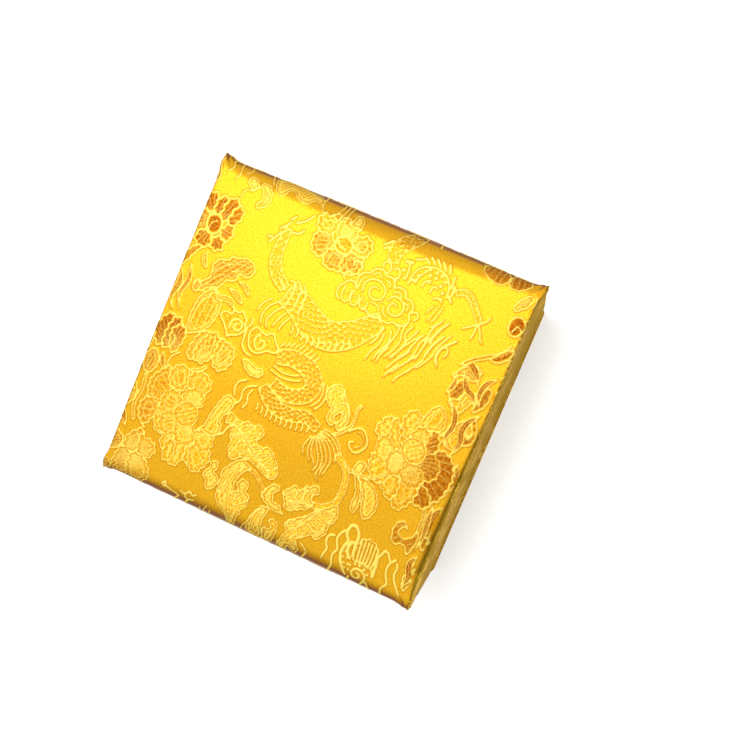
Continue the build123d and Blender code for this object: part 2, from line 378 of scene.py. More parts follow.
def draw_body(loom, points, widths, scale):
    """A length of the dragon: an outlined band filled with rows of scales."""
    path, run, side, half, ring = ring_round(points, widths)
    far = lengths(path)
    inside = loom.shape(ring, 0.0, 0.34, 0.1, smooth=False, filled=False)
    row_gap = 0.8 * scale
    for row in range(int(far[-1] / row_gap)):
        at = int(np.searchsorted(far, (row + 0.5) * row_gap))
        if at >= len(path):
            continue
        across = max(1, int(round(2 * half[at] / scale)))
        for cell in range(across + 1):
            offset = (cell + 0.5 * (row % 2)) / across * 2 - 1
            if abs(offset) > 1:
                continue
            centre = path[at] + side[at] * half[at] * offset
            wide, forward = side[at] * scale * 0.5, run[at] * scale
            arc = np.array([
                centre - 0.86 * wide, centre - 0.72 * wide + 0.4 * forward, centre + 0.62 * forward,
                centre + 0.72 * wide + 0.4 * forward, centre + 0.86 * wide,
            ])
            loom.draw(loom.line, arc, np.full(len(arc), SCALE_HALF), inside)


def leaf(loom, outline, turn, spacing, shade=0.0, bend=0.0):
    """A leaf or petal whose filling lies in parallel ribs."""
    dark = shade > DARK
    inside = loom.shape(outline, shade, LEAF_HALF, scallop=0.4, inner=0.0 if dark else 1.5)
    loom.hatch(inside, turn, spacing * (1.5 if dark else 1), bend)


def strokes(loom, lines, half=0.4, end=0.6):
    """Several pale lines of one width."""
    for points in lines:
        loom.stroke(points, half, 1.0, end)


def beads(loom, points, half=0.6):
    """Round pale beads."""
    for x, y in points:
        loom.stroke([(x - 0.1, y), (x + 0.1, y)], half)


def fins(loom, places, fin, half=0.45):
    """A row of small fins: the same short line at each place."""
    for x, y in places:
        loom.stroke([(x + right, y + up) for right, up in fin], half, 1, 0.6)


def petals(loom, heart, outlines, count=34, half=LEAF_HALF):
    """Ruffled petals that overlap, with ribs that spread from the heart. Each outline comes with its
    shade. They are drawn a little larger than their outlines, so that they overlap."""
    growth = 1.13
    for outline, shade in outlines:
        middle = np.mean(outline, 0)
        wide = middle + (np.array(outline) - middle) * growth
        inside = loom.shape(wide, shade, half, scallop=0.9, inner=0.0 if shade > DARK else 1.9)
        loom.fan(inside, heart, count)


def draw_clouds(loom):
    """The pair of scalloped clouds left of the dragon's coils."""
    loom.shape([(-40.6, 8.6), (-39.8, 10.6), (-38, 11.2), (-36.6, 11), (-36.2, 13), (-34.4, 12.4),
        (-32.6, 13.6), (-31, 12), (-29.6, 11), (-29.8, 9.4), (-29, 7.4), (-30, 5.5), (-31.6, 4), (-34, 3),
        (-35.2, 2), (-36, 3.5), (-38, 6)], 0.0, 0.5, 0.5)
    loom.stroke([(-28.2, 12.2), (-27.6, 10.6), (-28.4, 9)], 0.5)
    loom.stroke([(-35.6, 5.6), (-35.4, 8.4), (-33.6, 9.8), (-31.4, 9.2), (-31, 7.2), (-32, 5.8), (-33.6, 6),
        (-34, 7.4), (-32.9, 8.3)], 0.5)
    loom.shape([(-25.6, 10.2), (-27.4, 7.6), (-27, 4.6), (-25.6, 1.8), (-23, 0.6), (-20.4, 1.4), (-18.4, 3),
        (-15.4, 3.4), (-14.2, 5.6), (-16, 7.6), (-18, 10.2), (-19.6, 10.2), (-21, 9), (-23, 9.6)], 0.0, 0.5,
        0.5)
    strokes(loom, [
        [(-23, 8), (-24.4, 6), (-23.6, 3.4), (-22, 2.5), (-20.4, 3.8), (-20.5, 6), (-22, 6.2), (-22.3, 4.8)],
        [(-28.8, 8.4), (-28.6, 4), (-28, 1.4), (-26, -0.2), (-23.6, -1)],
    ], 0.5)


def draw_dragon_tail(loom):
    """The strands that stream from the end of the dragon's hump."""
    strokes(loom, [
        [(9, -19), (8, -22), (7.7, -24), (9, -26.5)], [(9.8, -19), (9.6, -22), (9.8, -24.5), (12, -28)],
        [(10.6, -19), (10.7, -22), (11.3, -24.5), (13.5, -27.4), (14, -29.4)],
        [(11.2, -18.6), (12.5, -21.6), (14.5, -25.2), (15, -28.4), (14, -31)],
        [(11.6, -18), (14, -21.4), (16.1, -25), (16.3, -28.5), (15.8, -31.4), (17.6, -33.6)],
        [(12, -17.4), (15.6, -21), (17.7, -25), (17.3, -28.5), (17, -32)],
        [(12.2, -16.8), (16.8, -20), (19.2, -24.6), (18.8, -28), (18, -31)],
        [(12.4, -16.2), (17.4, -18.6), (20.4, -22.4), (20.6, -25)],
        [(12.6, -15.4), (16.4, -16.4), (19.8, -19), (21.6, -22)],
        [(12.6, -14.6), (15.6, -14.8), (19, -16.6), (21.6, -19.6), (22.6, -21.6)],
    ], 0.4, 0.5)
    beads(loom, [(10, -16.6), (11.4, -17.2), (10.6, -18.4), (12, -16)], 0.55)


def draw_dragon_coils(loom):
    """The hump and the lower coil with their scales, fins and legs."""
    draw_body(loom, [(-15, -9), (-11, -12.4), (-6, -14.8), (0, -14.6), (5, -13.4), (10.4, -15.6)], [2.2, 3,
        2.9, 2.6, 2.6, 2], 1.9)
    places = [(-14.4 + 2.1 * i, -14.6 - 2.9 * math.sin(math.pi * (i + 2) / 14)) for i in range(11)]
    fins(loom, places, [(0, 0), (0.5, -1.3), (0.1, -2.7)])
    strokes(loom, [
        [(-17, -10), (-20, -11.5), (-21.5, -14), (-21, -17), (-22.4, -19.5)],
        [(-18, -12), (-19, -14.5), (-18.4, -17.4), (-19.4, -20)],
        [(-21.6, -9.6), (-24, -11), (-24.8, -14), (-23.8, -16.8)],
    ], 0.5, 0.6)
    leaf(loom, [(-17, -6.5), (-20, -7.5), (-23, -6.6), (-25.4, -4), (-26, -2.6), (-23, -2.6), (-20, -3.8),
        (-17, -3.5)], 30, 1.0)
    draw_body(loom, [(-14, 2.8), (-8, 4.6), (-1, 3.4), (2.8, -1.2), (1.2, -6.2), (-5, -8.6), (-12, -6.4)],
        [2.8, 3.4, 3.6, 3.4, 3, 2.8, 2.3], 2.0)
    places = [(-14.2 + 1.75 * i, 7 + 1.6 * math.sin(math.pi * i / 8)) for i in range(9)]
    fins(loom, places, [(0, 0), (0.9, 1.2), (1.4, 2.4)], 0.42)
    strokes(loom, [
        [(6.4, 1), (7.2, -2.4), (6.8, -6), (4.4, -9.4)], [(7.8, 0.6), (8.7, -3), (8.2, -6.8), (6.2, -9.8)],
        [(-14, -0.6), (-10, -1.6), (-6, -1.2), (-3, 0)],
        [(-14.6, -2.4), (-10, -3.4), (-5.4, -3), (-2, -1.6)],
    ], 0.42)


def draw_dragon_chest(loom):
    """The thick front coil below the head, its fins, and the raised left leg with its claws."""
    draw_body(loom, [(-21, 27), (-26, 31), (-28.6, 36), (-28.8, 42), (-28, 48)], [2.2, 2.6, 2.4, 2, 1.4],
        1.9)
    draw_body(loom, [(17, 30), (13, 25.4), (8, 20.8), (1, 17.6), (-6, 19), (-13, 23.4), (-20, 25.6)], [3.6,
        4.4, 5.4, 5.8, 5.8, 5.2, 4.4], 2.3)
    rise = [-2.8 * math.sin(math.pi * (i + 0.5) / 11) + 0.3 * i for i in range(11)]
    fins(loom, [(-13 + 2.2 * i, 14.4 + rise[i]) for i in range(11)], [(0, 1.8), (0.8, 0.2), (0.4, -1.6)])
    strokes(loom, [
        [(-20, 30.6), (-18, 30.4), (-17.6, 27), (-18.4, 21.6)],
        [(-17.4, 31.4), (-15.2, 29.6), (-14.8, 26), (-15.4, 20.6)],
        [(-14.6, 31), (-12.8, 28.6), (-12.6, 24), (-13, 20)], [(-24, 29.6), (-22.2, 28), (-20.4, 26.4)],
    ], 0.5)
    strokes(loom, [
        [(-21, 22), (-24, 19), (-25.4, 15), (-24.6, 11.4)],
        [(-19, 20.5), (-21.5, 17.5), (-23, 14), (-22, 11)], [(-24, 22), (-26.8, 19), (-27.8, 15.6)],
        [(-17, 19), (-18.8, 16), (-20, 12.6)], [(-15, 18), (-16.6, 15), (-17.4, 12)],
    ], 0.45)
    strokes(loom, [
        [(-28.6, 51.2), (-27.2, 53.2)], [(-26.4, 50.8), (-23.6, 52.6), (-21.8, 54.8), (-21, 56.2)],
        [(-31.4, 46.6), (-29.6, 48.6), (-28.2, 50.4)], [(-34.8, 42.2), (-33, 43)],
        [(-33.6, 40.4), (-31.6, 43.6), (-30.4, 46)], [(-26, 47), (-24, 47.6), (-22.4, 49.6)],
    ], 0.6, 0.4)


def draw_dragon_head(loom):
    """The dragon's head turned to the left, with its jaws, eye, horns and mane."""
    strokes(loom, [
        [(40.3, 38), (38.4, 35), (37.2, 32), (36.8, 28.6)], [(40.4, 33), (38.6, 30), (37.4, 27), (36.6, 23)],
        [(45.4, 33.2), (42.6, 30.4), (41, 28), (40.8, 25), (42.4, 22)],
    ], 0.7, 0.4)
    strokes(loom, [
        [(41.6, 29), (43.2, 29.8), (44, 28), (43, 25.8)], [(37.6, 37.4), (36, 35), (35.2, 31.6), (35, 28)],
        [(35, 31), (33.4, 27.6), (33, 24), (31.6, 20)], [(38.6, 34.4), (36.4, 31), (34.8, 26), (34, 21)],
        [(33.6, 30.8), (31, 28.3), (29.3, 25.7), (26.8, 21.5), (25.5, 18)],
        [(30, 29.4), (28.6, 26.6), (27.6, 23), (24.6, 18.4)],
        [(26.4, 32.6), (25.8, 29), (26.4, 25.6), (25, 21.4), (23, 18)],
        [(28.8, 32.4), (27.2, 29), (28.2, 26), (27, 22)], [(31, 32), (30.4, 29.6)],
        [(30.6, 25.3), (31, 23.6), (29.3, 21.1), (27.6, 18.9), (25.1, 14.3)],
        [(34.4, 23.6), (31.9, 20.2), (29.3, 16.8), (27.2, 13.4)],
        [(22, 28), (22.6, 24), (20.4, 19), (19.4, 15.4)], [(20, 26), (19.6, 22), (17.6, 18), (17, 14.6)],
        [(36.8, 22.6), (34, 18.4), (31.6, 15)], [(39.4, 25.4), (37, 21), (35, 18.6)],
        [(33, 30.4), (31.4, 26.4), (29.8, 22.6), (27.6, 19.8)],
        [(24.4, 30.6), (24, 26.6), (22.6, 22), (21, 17.6)], [(23.4, 22), (21.6, 18.6), (21, 15.2)],
        [(29, 18), (26.6, 14), (25.6, 11.4)], [(33.6, 17.4), (30.4, 13.6), (29.4, 11)],
        [(42.8, 34.4), (41.2, 31.4), (39.8, 28.4), (39, 24.6)], [(38.2, 38.6), (36.6, 36.4), (34.6, 34.2)],
        [(18.6, 27.6), (18.2, 24), (16.4, 20.4)],
    ], 0.45, 0.4)
    strokes(loom, [
        [(3.4, 38), (3, 41), (4, 43.6), (6.4, 44.6)], [(6.4, 44.6), (8, 46.8), (10.6, 47.4), (12.6, 45.8)],
        [(12.6, 45.8), (14.8, 46), (16.4, 44.6), (16.8, 42.8)],
        [(16.8, 42.8), (19, 43.8), (21.4, 43), (22.4, 40.8)],
        [(22.4, 40.8), (24.8, 40.6), (26.2, 38.4), (25.6, 36)],
        [(25.6, 36), (26.6, 33.6), (25.4, 31.4), (23, 31)], [(-1, 37.6), (0.6, 39.4), (3, 39), (4.4, 37.2)],
        [(-1, 37.6), (-2.4, 35.6), (-2.2, 33), (-0.6, 31.4)],
        [(1, 41.4), (-1, 42.4), (-2.4, 40.6), (-1.4, 39)], [(3, 45), (1.6, 47), (-0.4, 46.4), (-0.4, 44.6)],
        [(16.4, 45.4), (17, 48), (15.4, 50), (14, 48.8)],
        [(12.6, 47), (13, 49.4), (11.2, 51), (9.8, 49.8), (10.4, 48.4)],
        [(16, 30.6), (13, 30), (10, 31.6), (8.8, 31)], [(26.4, 36.6), (28, 37.6), (29.2, 36), (28, 34.4)],
    ], 0.5, 0.7)
    strokes(loom, [
        [(4.6, 38.4), (4.4, 41), (6, 43)], [(7.6, 44.4), (9.6, 45.8), (11.6, 44.4)],
        [(13, 44.2), (14.8, 44), (15.4, 42)], [(17.4, 41.4), (19.6, 42), (20.8, 40.4)],
        [(22.4, 39.2), (24.2, 38.6), (24.2, 36.4)],
    ], 0.42, 0.7)
    strokes(loom, [
        [(6.4, 37.4), (6.1, 40.6), (8.4, 43), (11.6, 43), (14.2, 41), (14.4, 38), (12.2, 36.2), (9.6, 36.8),
         (8.8, 39), (10.2, 40.8), (12, 40)],
        [(16.6, 38), (18, 40), (20.6, 39.8), (22.8, 38), (22.8, 35), (20.6, 33.4), (18.2, 34), (17.6, 36),
         (19, 37.6), (20.6, 36.8)],
    ], 0.5)
    strokes(loom, [
        [(0, 37), (-0.4, 34), (0.8, 31.6), (2.4, 31.8), (2.8, 34.4), (2.4, 36.6)],
        [(3.6, 36.6), (3.2, 33.8), (4.4, 31.4), (6, 31.8), (6.2, 34.4), (5.6, 36)],
        [(7.4, 35.6), (7, 33), (8.4, 31.4), (9.8, 32.6), (9.8, 34.6)], [(11, 35), (13.6, 34.6), (15, 32.6)],
        [(15.4, 32.2), (17, 30.6), (19.4, 30), (21.4, 31.2), (23.6, 30)],
        [(16, 35.4), (16.4, 33), (18.6, 31.8)],
    ], 0.42, 0.7)
    beads(loom, [(1.2, 34.6), (4.7, 34.4), (8.4, 33.8), (14.6, 36.2), (24.2, 34)], 0.5)


def draw_dragon_arch(loom):
    """The part of the body that rises behind the head at the upper right, and its raised claw."""
    draw_body(loom, [(19, 68), (17.6, 63.4), (14.4, 59.4), (12.4, 55.4), (13, 51)], [2.6, 3.2, 3.2, 3, 2],
        2.1)
    strokes(loom, [[(7, 56.2), (8.6, 57.4), (10, 59)], [(7.8, 55), (9.6, 56)]], 0.6, 0.6)
    strokes(loom, [
        [(21, 46), (21.2, 49), (22, 51.6), (23.4, 53.2), (25.4, 54.4), (29, 55), (33, 53.6), (35.4, 50.4),
         (36, 46)], [(23.4, 47.4), (23.6, 50), (25, 51.6)], [(18.4, 54), (19.3, 51), (19.5, 47)],
        [(31.6, 44.4), (33.6, 45.2), (35.2, 44)], [(26, 47), (26.6, 49.4), (28.4, 49)],
        [(29.4, 46), (30.2, 48.6), (32, 47.8)],
    ], 0.5, 0.7)
    beads(loom, [(29.3, 53.5), (31.6, 53), (27.4, 51.8), (33.4, 51.4), (28, 49.8), (25.4, 52.6),
        (32.4, 49.6), (34, 47.4), (34.2, 45), (23.6, 50.4), (22.4, 48), (17.5, 53.5), (19.4, 53.8),
        (17.6, 50.2), (19, 47.6), (16.4, 46.4), (29.8, 51.6), (26.6, 53.8)], 0.95)
    strokes(loom, [
        [(20.4, 55.4), (23, 56.4)], [(23.4, 57.2), (25.6, 55.6)], [(25.4, 58.2), (27.6, 56)],
        [(27.6, 58.4), (29.8, 55.8)], [(30, 58.2), (32, 55.4)], [(32.6, 58), (34, 54.6)],
        [(36, 54.2), (36.3, 50)], [(37.4, 51), (37.4, 47.4)], [(36.6, 47), (38.4, 45.2)],
    ], 0.6, 0.7)
    strokes(loom, [
        [(34.6, 43), (33.6, 39), (32.4, 36)], [(36, 42.6), (35.4, 39), (34, 36)], [(32.8, 42), (31, 38.4)],
    ], 0.36, 0.5)
    draw_stem(loom, [(38.4, 49), (41, 50.4), (43.8, 49.6), (46.4, 47), (49, 43.8), (51, 41.4)], 2.6)
    for index in range(9):
        x, y = 39.6 + 1.3 * index, 50 - 0.11 * index * index
        loom.stroke([(x, y + 0.9), (x + 0.5, y - 0.9)], 0.26)
    strokes(loom, [
        [(50.6, 41.6), (52.8, 43.4), (53.6, 45.6)], [(50.6, 41), (52, 39), (53, 36.6), (54.2, 35.4)],
        [(50, 41), (50, 38), (49.6, 35.4)], [(49.6, 41), (47, 39.2), (45.2, 38.2)],
    ], 0.5, 0.4)


def draw_right_peony(loom):
    """The large peony right of the middle, its petals towards the edge darkened by painted shade."""
    petals(loom, (46, -9), [
        ([(54, -6.6), (57, -5.4), (60.4, -7), (62.6, -11), (62.4, -16.4), (60.6, -21), (56.4, -22),
         (53, -17)], 0.9),
        ([(52, -18), (55.6, -19.4), (58.6, -22.6), (57.6, -25.4), (53.6, -25.4), (50.4, -22.4)], 0.85),
        ([(44.4, -18), (49.4, -17.4), (52.6, -20), (52, -25.4), (49, -29.4), (46.4, -28.8), (44.6, -24)],
         0.15),
        ([(38.6, -20), (44.4, -20), (46, -24), (45, -27.2), (43.4, -27.8), (41, -25.6), (38.8, -24)], 0.1),
        ([(33, -17.4), (34.2, -21.6), (37, -24), (40.4, -22.4), (41, -17.6), (38, -14.6), (34.4, -14.4)],
         0.0),
        ([(30.6, -6), (31.4, -4), (32.6, -1.6), (34.4, -0.8), (36, -2.8), (36.8, -6.4), (34.8, -8.6),
         (32.4, -8.6)], 0.0),
        ([(35.6, -1), (37.4, -1.2), (38.6, -3.6), (40, -6.6), (42, -10), (38, -9), (36, -5.8)], 0.0),
        ([(38.8, -0.6), (39.4, 2.6), (41.4, 4.6), (44, 3.8), (44.8, 1), (43.6, -2.6), (42, -5.4),
         (40.4, -3.4)], 0.0),
        ([(43.4, -4), (45, -0.4), (47.6, 0.4), (49.4, -1.6), (49.8, -5), (46.6, -6)], 0.1),
        ([(49.8, -1), (51.4, 0.8), (53.2, -1), (54.2, -4.6), (52.6, -7.4), (50.2, -6.4)], 0.85),
    ])
    petals(loom, (44, -12), [
        ([(33.4, -9.4), (36, -8.4), (39.4, -10.6), (40, -14.6), (37, -16.6), (33.8, -14.6)], 0.0),
        ([(50, -8), (54, -7.6), (57, -10.4), (56.8, -14.6), (53.4, -16.4), (50.4, -13.6)], 0.8),
        ([(46, -14.4), (50, -13.4), (53, -16.6), (51.4, -20.4), (47.4, -20.4), (45, -17.6)], 0.35),
        ([(39.6, -12), (43.4, -11.4), (45, -14.6), (44, -18.6), (41, -19.4), (38.8, -16.4)], 0.1),
    ], 44, 0.34)
    inside = loom.shape([(42, -6), (44.6, -4), (48.6, -4.6), (51, -7.8), (50, -12), (46.4, -13),
        (42.6, -11.4), (41.4, -8.6)], 0.0, 0.36)
    loom.hatch(inside, 35, 1.6)
    loom.hatch(inside, 125, 1.6)
    beads(loom, [(44, -6.4), (46.2, -5.8), (48.4, -6.8), (49.2, -9), (47.6, -11), (45.2, -11.2),
        (43.4, -9.4), (46.4, -8.4)], 0.55)
    leaf(loom, [(30.6, -24.8), (34.6, -25.2), (38.4, -27), (41, -30.4), (41.6, -34.6), (39.8, -38.4),
        (37.6, -38.6), (36, -35.4), (35, -31), (33, -27.6)], 70, 1.4)
    leaf(loom, [(29.4, -25), (31.8, -26.2), (34, -30), (35, -34.4), (34.6, -38), (32.9, -38.4), (32, -35.4),
        (32.2, -31.6), (30.6, -28)], 84, 1.2)
    leaf(loom, [(28.6, -24.6), (28.2, -22.4), (29, -20.4), (30.8, -19.6), (32.6, -20.6), (32, -23),
        (31, -25)], 60, 1.0)
    draw_stem(loom, [(24, -22.6), (28, -24.8), (33, -24.6), (37, -23.2), (40.4, -20.4)], 1.3)


def draw_left_peony(loom):
    """The large peony at the lower left, its bud, and the long ribbed petals beside it."""
    petals(loom, (-40, -30), [
        ([(-50, -31.6), (-51, -35), (-49.6, -37.6), (-48.8, -39.6), (-47, -40.4), (-45.4, -39.4),
         (-44.8, -36)], 0.0),
        ([(-51, -17), (-54, -19), (-56.6, -23), (-56, -28), (-52.6, -30.4), (-48, -28), (-47, -22)], 0.3),
        ([(-55, -30), (-57.4, -33), (-56.6, -37), (-53.6, -39.4), (-51.4, -36), (-51, -31.6)], 0.4),
        ([(-48, -14.6), (-50.4, -18), (-48.6, -22), (-44.4, -22.6), (-42.6, -18.6), (-44.6, -15)], 0.1),
        ([(-42.4, -16), (-41.6, -20.4), (-38, -22), (-34.6, -20), (-34.4, -16.4), (-38, -14)], 0.1),
        ([(-34.4, -40), (-34.4, -43.6), (-34, -46), (-32.8, -47.3), (-31.6, -46.2), (-31.4, -42)], 0.0),
        ([(-32.4, -41), (-31.8, -45.4), (-30.8, -48), (-29, -49), (-27.2, -48.6), (-25.8, -46.6),
         (-24.7, -44.4), (-24.6, -42), (-26, -39.6), (-29, -38.6)], 0.0),
        ([(-44.2, -39.6), (-44.9, -42.5), (-44.2, -44.8), (-42.6, -45.2), (-40.6, -43), (-40, -39.4)], 0.0),
        ([(-40.4, -41), (-38.4, -44.6), (-39.2, -48.6), (-37.5, -50), (-35.7, -49), (-34.8, -46.5),
         (-34.7, -43), (-35.6, -40)], 0.0),
        ([(-42.2, -42.6), (-42.4, -46.6), (-41.6, -49), (-40, -49.3), (-38.8, -47.6), (-38.6, -44.6),
         (-40, -42)], 0.0),
    ])
    petals(loom, (-36, -30), [
        ([(-26.6, -33.6), (-25.6, -35.6), (-25.4, -38), (-27.4, -40.6), (-31, -39.6), (-33, -36),
         (-30, -33.4)], 0.0),
        ([(-46, -24), (-49.4, -26), (-49.8, -30), (-47, -33), (-43.4, -31.4), (-42.6, -27)], 0.15),
        ([(-47, -33), (-47.6, -37), (-44.6, -40), (-41, -39), (-40.6, -35), (-43, -32)], 0.1),
        ([(-40.6, -35), (-40.4, -39.4), (-37, -41.6), (-33.4, -39.6), (-33.6, -35.4), (-37, -33.6)], 0.0),
        ([(-42, -23), (-39, -20.4), (-35.4, -21.4), (-34.6, -25), (-37.4, -27.6), (-41.4, -27)], 0.0),
    ], 44, 0.36)
    inside = loom.shape([(-43, -28), (-40, -25.6), (-36, -26.4), (-34, -29.6), (-35, -33.6), (-38.6, -35.4),
        (-42.4, -34), (-44.2, -31)], 0.1, 0.36)
    loom.hatch(inside, 35, 1.6)
    beads(loom, [(-40.6, -28.6), (-38, -28), (-36.4, -30), (-37.2, -32.4), (-39.6, -33.4), (-41.8, -31.6),
        (-39.2, -30.6)], 0.6)
    leaf(loom, [(-30.6, -33.6), (-33.2, -34.2), (-31, -31.4), (-30.3, -27.4), (-29, -22.4), (-27, -18),
        (-24.4, -17.4), (-22.6, -19), (-23.4, -23), (-25.4, -27), (-24, -30), (-25, -33.4), (-27.6, -34.4)],
        72, 1.7, 0.0, 0.06)
    petals(loom, (-38, -13), [
        ([(-46.6, -9.6), (-46.8, -5), (-45.2, -0.8), (-42.6, 0.6), (-41, -2.6), (-42.6, -9)], 0.3),
        ([(-44.4, -8.6), (-43.8, -3.6), (-41.4, 0.8), (-38.4, 1), (-37, -2), (-38, -7), (-41, -10)], 0.25),
        ([(-36.6, -0.4), (-33.6, -0.2), (-30.8, -1.2), (-29.8, -4.4), (-30.8, -8), (-33.4, -10),
         (-36.4, -8)], 0.2),
    ], 40)
    strokes(loom, [
        [(-43.2, -9), (-42.4, -5.8), (-40.4, -4), (-38.8, -3.2)],
        [(-42, -10), (-41, -7.6), (-39, -6.2), (-37.2, -7)], [(-35.2, -2.6), (-35.6, -5.2), (-35.4, -8.6)],
    ], 0.3)
    draw_stem(loom, [(-38, -11), (-40, -13), (-43.4, -14.4)], 1.6)


def draw_top_peony(loom):
    """The peony above the middle, cut by the back roll, with its stem and loops."""
    petals(loom, (-7, 51), [
        ([(-15.6, 43.6), (-18, 46.6), (-17.6, 51), (-14, 52.6), (-11, 49.6), (-11.6, 44.6)], 0.55),
        ([(-11.6, 42.4), (-8.6, 40.6), (-4.6, 41.4), (-4, 45.4), (-7, 47.6), (-11, 46.4)], 0.6),
        ([(-4.4, 42), (-0.6, 41.4), (2.4, 44), (1.6, 48), (-2.4, 48.6), (-4.6, 46)], 0.6),
        ([(-1.4, 49), (2.4, 49.6), (3.4, 53), (1, 56), (-2.6, 54.6), (-3.4, 51.4)], 0.35),
        ([(-17.6, 52.6), (-19, 56), (-17.4, 58.4), (-15.4, 58.2), (-13.4, 60), (-11.6, 57.6), (-12.6, 53)],
         0.15),
        ([(-10.4, 53), (-10.6, 58), (-8.8, 60), (-6.8, 57.6), (-4, 57.6), (-4.6, 53.4), (-7.6, 51.6)], 0.15),
    ])
    loom.shape([(-10, 48.6), (-7, 46.8), (-3.6, 48), (-3.2, 51.6), (-6.4, 53.6), (-10, 52)], 0.2, 0.5)
    strokes(loom, [[(-9.4, 51), (-7.6, 49.4), (-5, 48.8)], [(-4, 52), (-1.4, 50.4), (0.6, 50.2)]], 0.55)
    leaf(loom, [(-7, 57.6), (-6.9, 60.6), (-6.2, 62.8), (-5.2, 63.6), (-3.8, 62.6), (-2.8, 60.6),
        (-2.8, 57.4), (-4.8, 58)], 85, 1.0)
    strokes(loom, [
        [(-14.6, 58.4), (-12.8, 62), (-12.4, 66.4), (-13.6, 72)],
        [(-12.6, 57), (-11.2, 61), (-10.8, 66), (-12, 72)],
        [(-9.6, 58), (-9.4, 62), (-9, 66.6), (-10.4, 72)], [(-20, 61), (-19.2, 58.8), (-17.6, 57.8)],
    ], 0.42, 0.8)


def draw_back_wave(loom):
    """The wavy leaf and the loops along the back roll."""
    strokes(loom, [
        [(-58.4, 58), (-57.2, 61), (-58, 65), (-56.6, 70)],
        [(-54.7, 56), (-53.8, 58.6), (-54.2, 62), (-54.6, 67), (-53, 72)],
        [(-51.6, 60.4), (-50, 63), (-50.6, 67), (-49, 71)],
        [(-40.4, 60.4), (-41.4, 63.4), (-42.4, 68), (-41.4, 73)],
        [(-35.6, 58.4), (-36.2, 62), (-37, 66.4), (-36, 72)], [(-20.2, 61.6), (-20, 66), (-21.4, 72)],
    ], 0.45, 0.7)
    leaf(loom, [(-40, 66), (-39.6, 61.4), (-38.4, 58.6), (-36.6, 57.2), (-35, 58.4), (-33, 62), (-30.6, 60),
        (-28, 58.8), (-25, 59.2), (-23.6, 61.4), (-21.4, 61), (-19.6, 61.6), (-21.4, 64.6), (-25, 66),
        (-30, 68), (-36, 69)], 60, 1.4)
    leaf(loom, [(-50, 58.4), (-48.4, 60.8), (-46.4, 59.6), (-45.2, 57.2), (-46.6, 55.2), (-49, 56)], 60, 1.1)
    leaf(loom, [(-44.6, 58.6), (-43, 60), (-41, 59.6), (-39.6, 57.6), (-38.8, 54.6), (-39.6, 52),
        (-42, 49.8), (-44, 50.6), (-42.4, 53), (-43, 55.8)], 75, 1.2, 0.1)
    loom.stroke([(-44.6, 57), (-47, 54.6), (-49.6, 54), (-50.3, 50.6)], 0.36)
    strokes(loom, [
        [(43.6, 65), (46.4, 62), (47.6, 59)], [(50.4, 63), (51.2, 57.6)], [(53.6, 64), (53.4, 59.6)],
        [(47, 70), (48.6, 65), (49.4, 60.4)], [(26.6, 66.6), (26.8, 63)],
    ], 0.5, 0.7)
    leaf(loom, [(44, 62), (47, 58.6), (51, 57), (54, 59), (54.4, 64), (51, 68), (46, 67)], 84, 1.4, 0.8)
    leaf(loom, [(55, 58.4), (58, 57), (61, 59), (63, 63), (60.4, 68), (56.6, 67), (54.8, 62.6)], 96, 1.4,
        0.9)


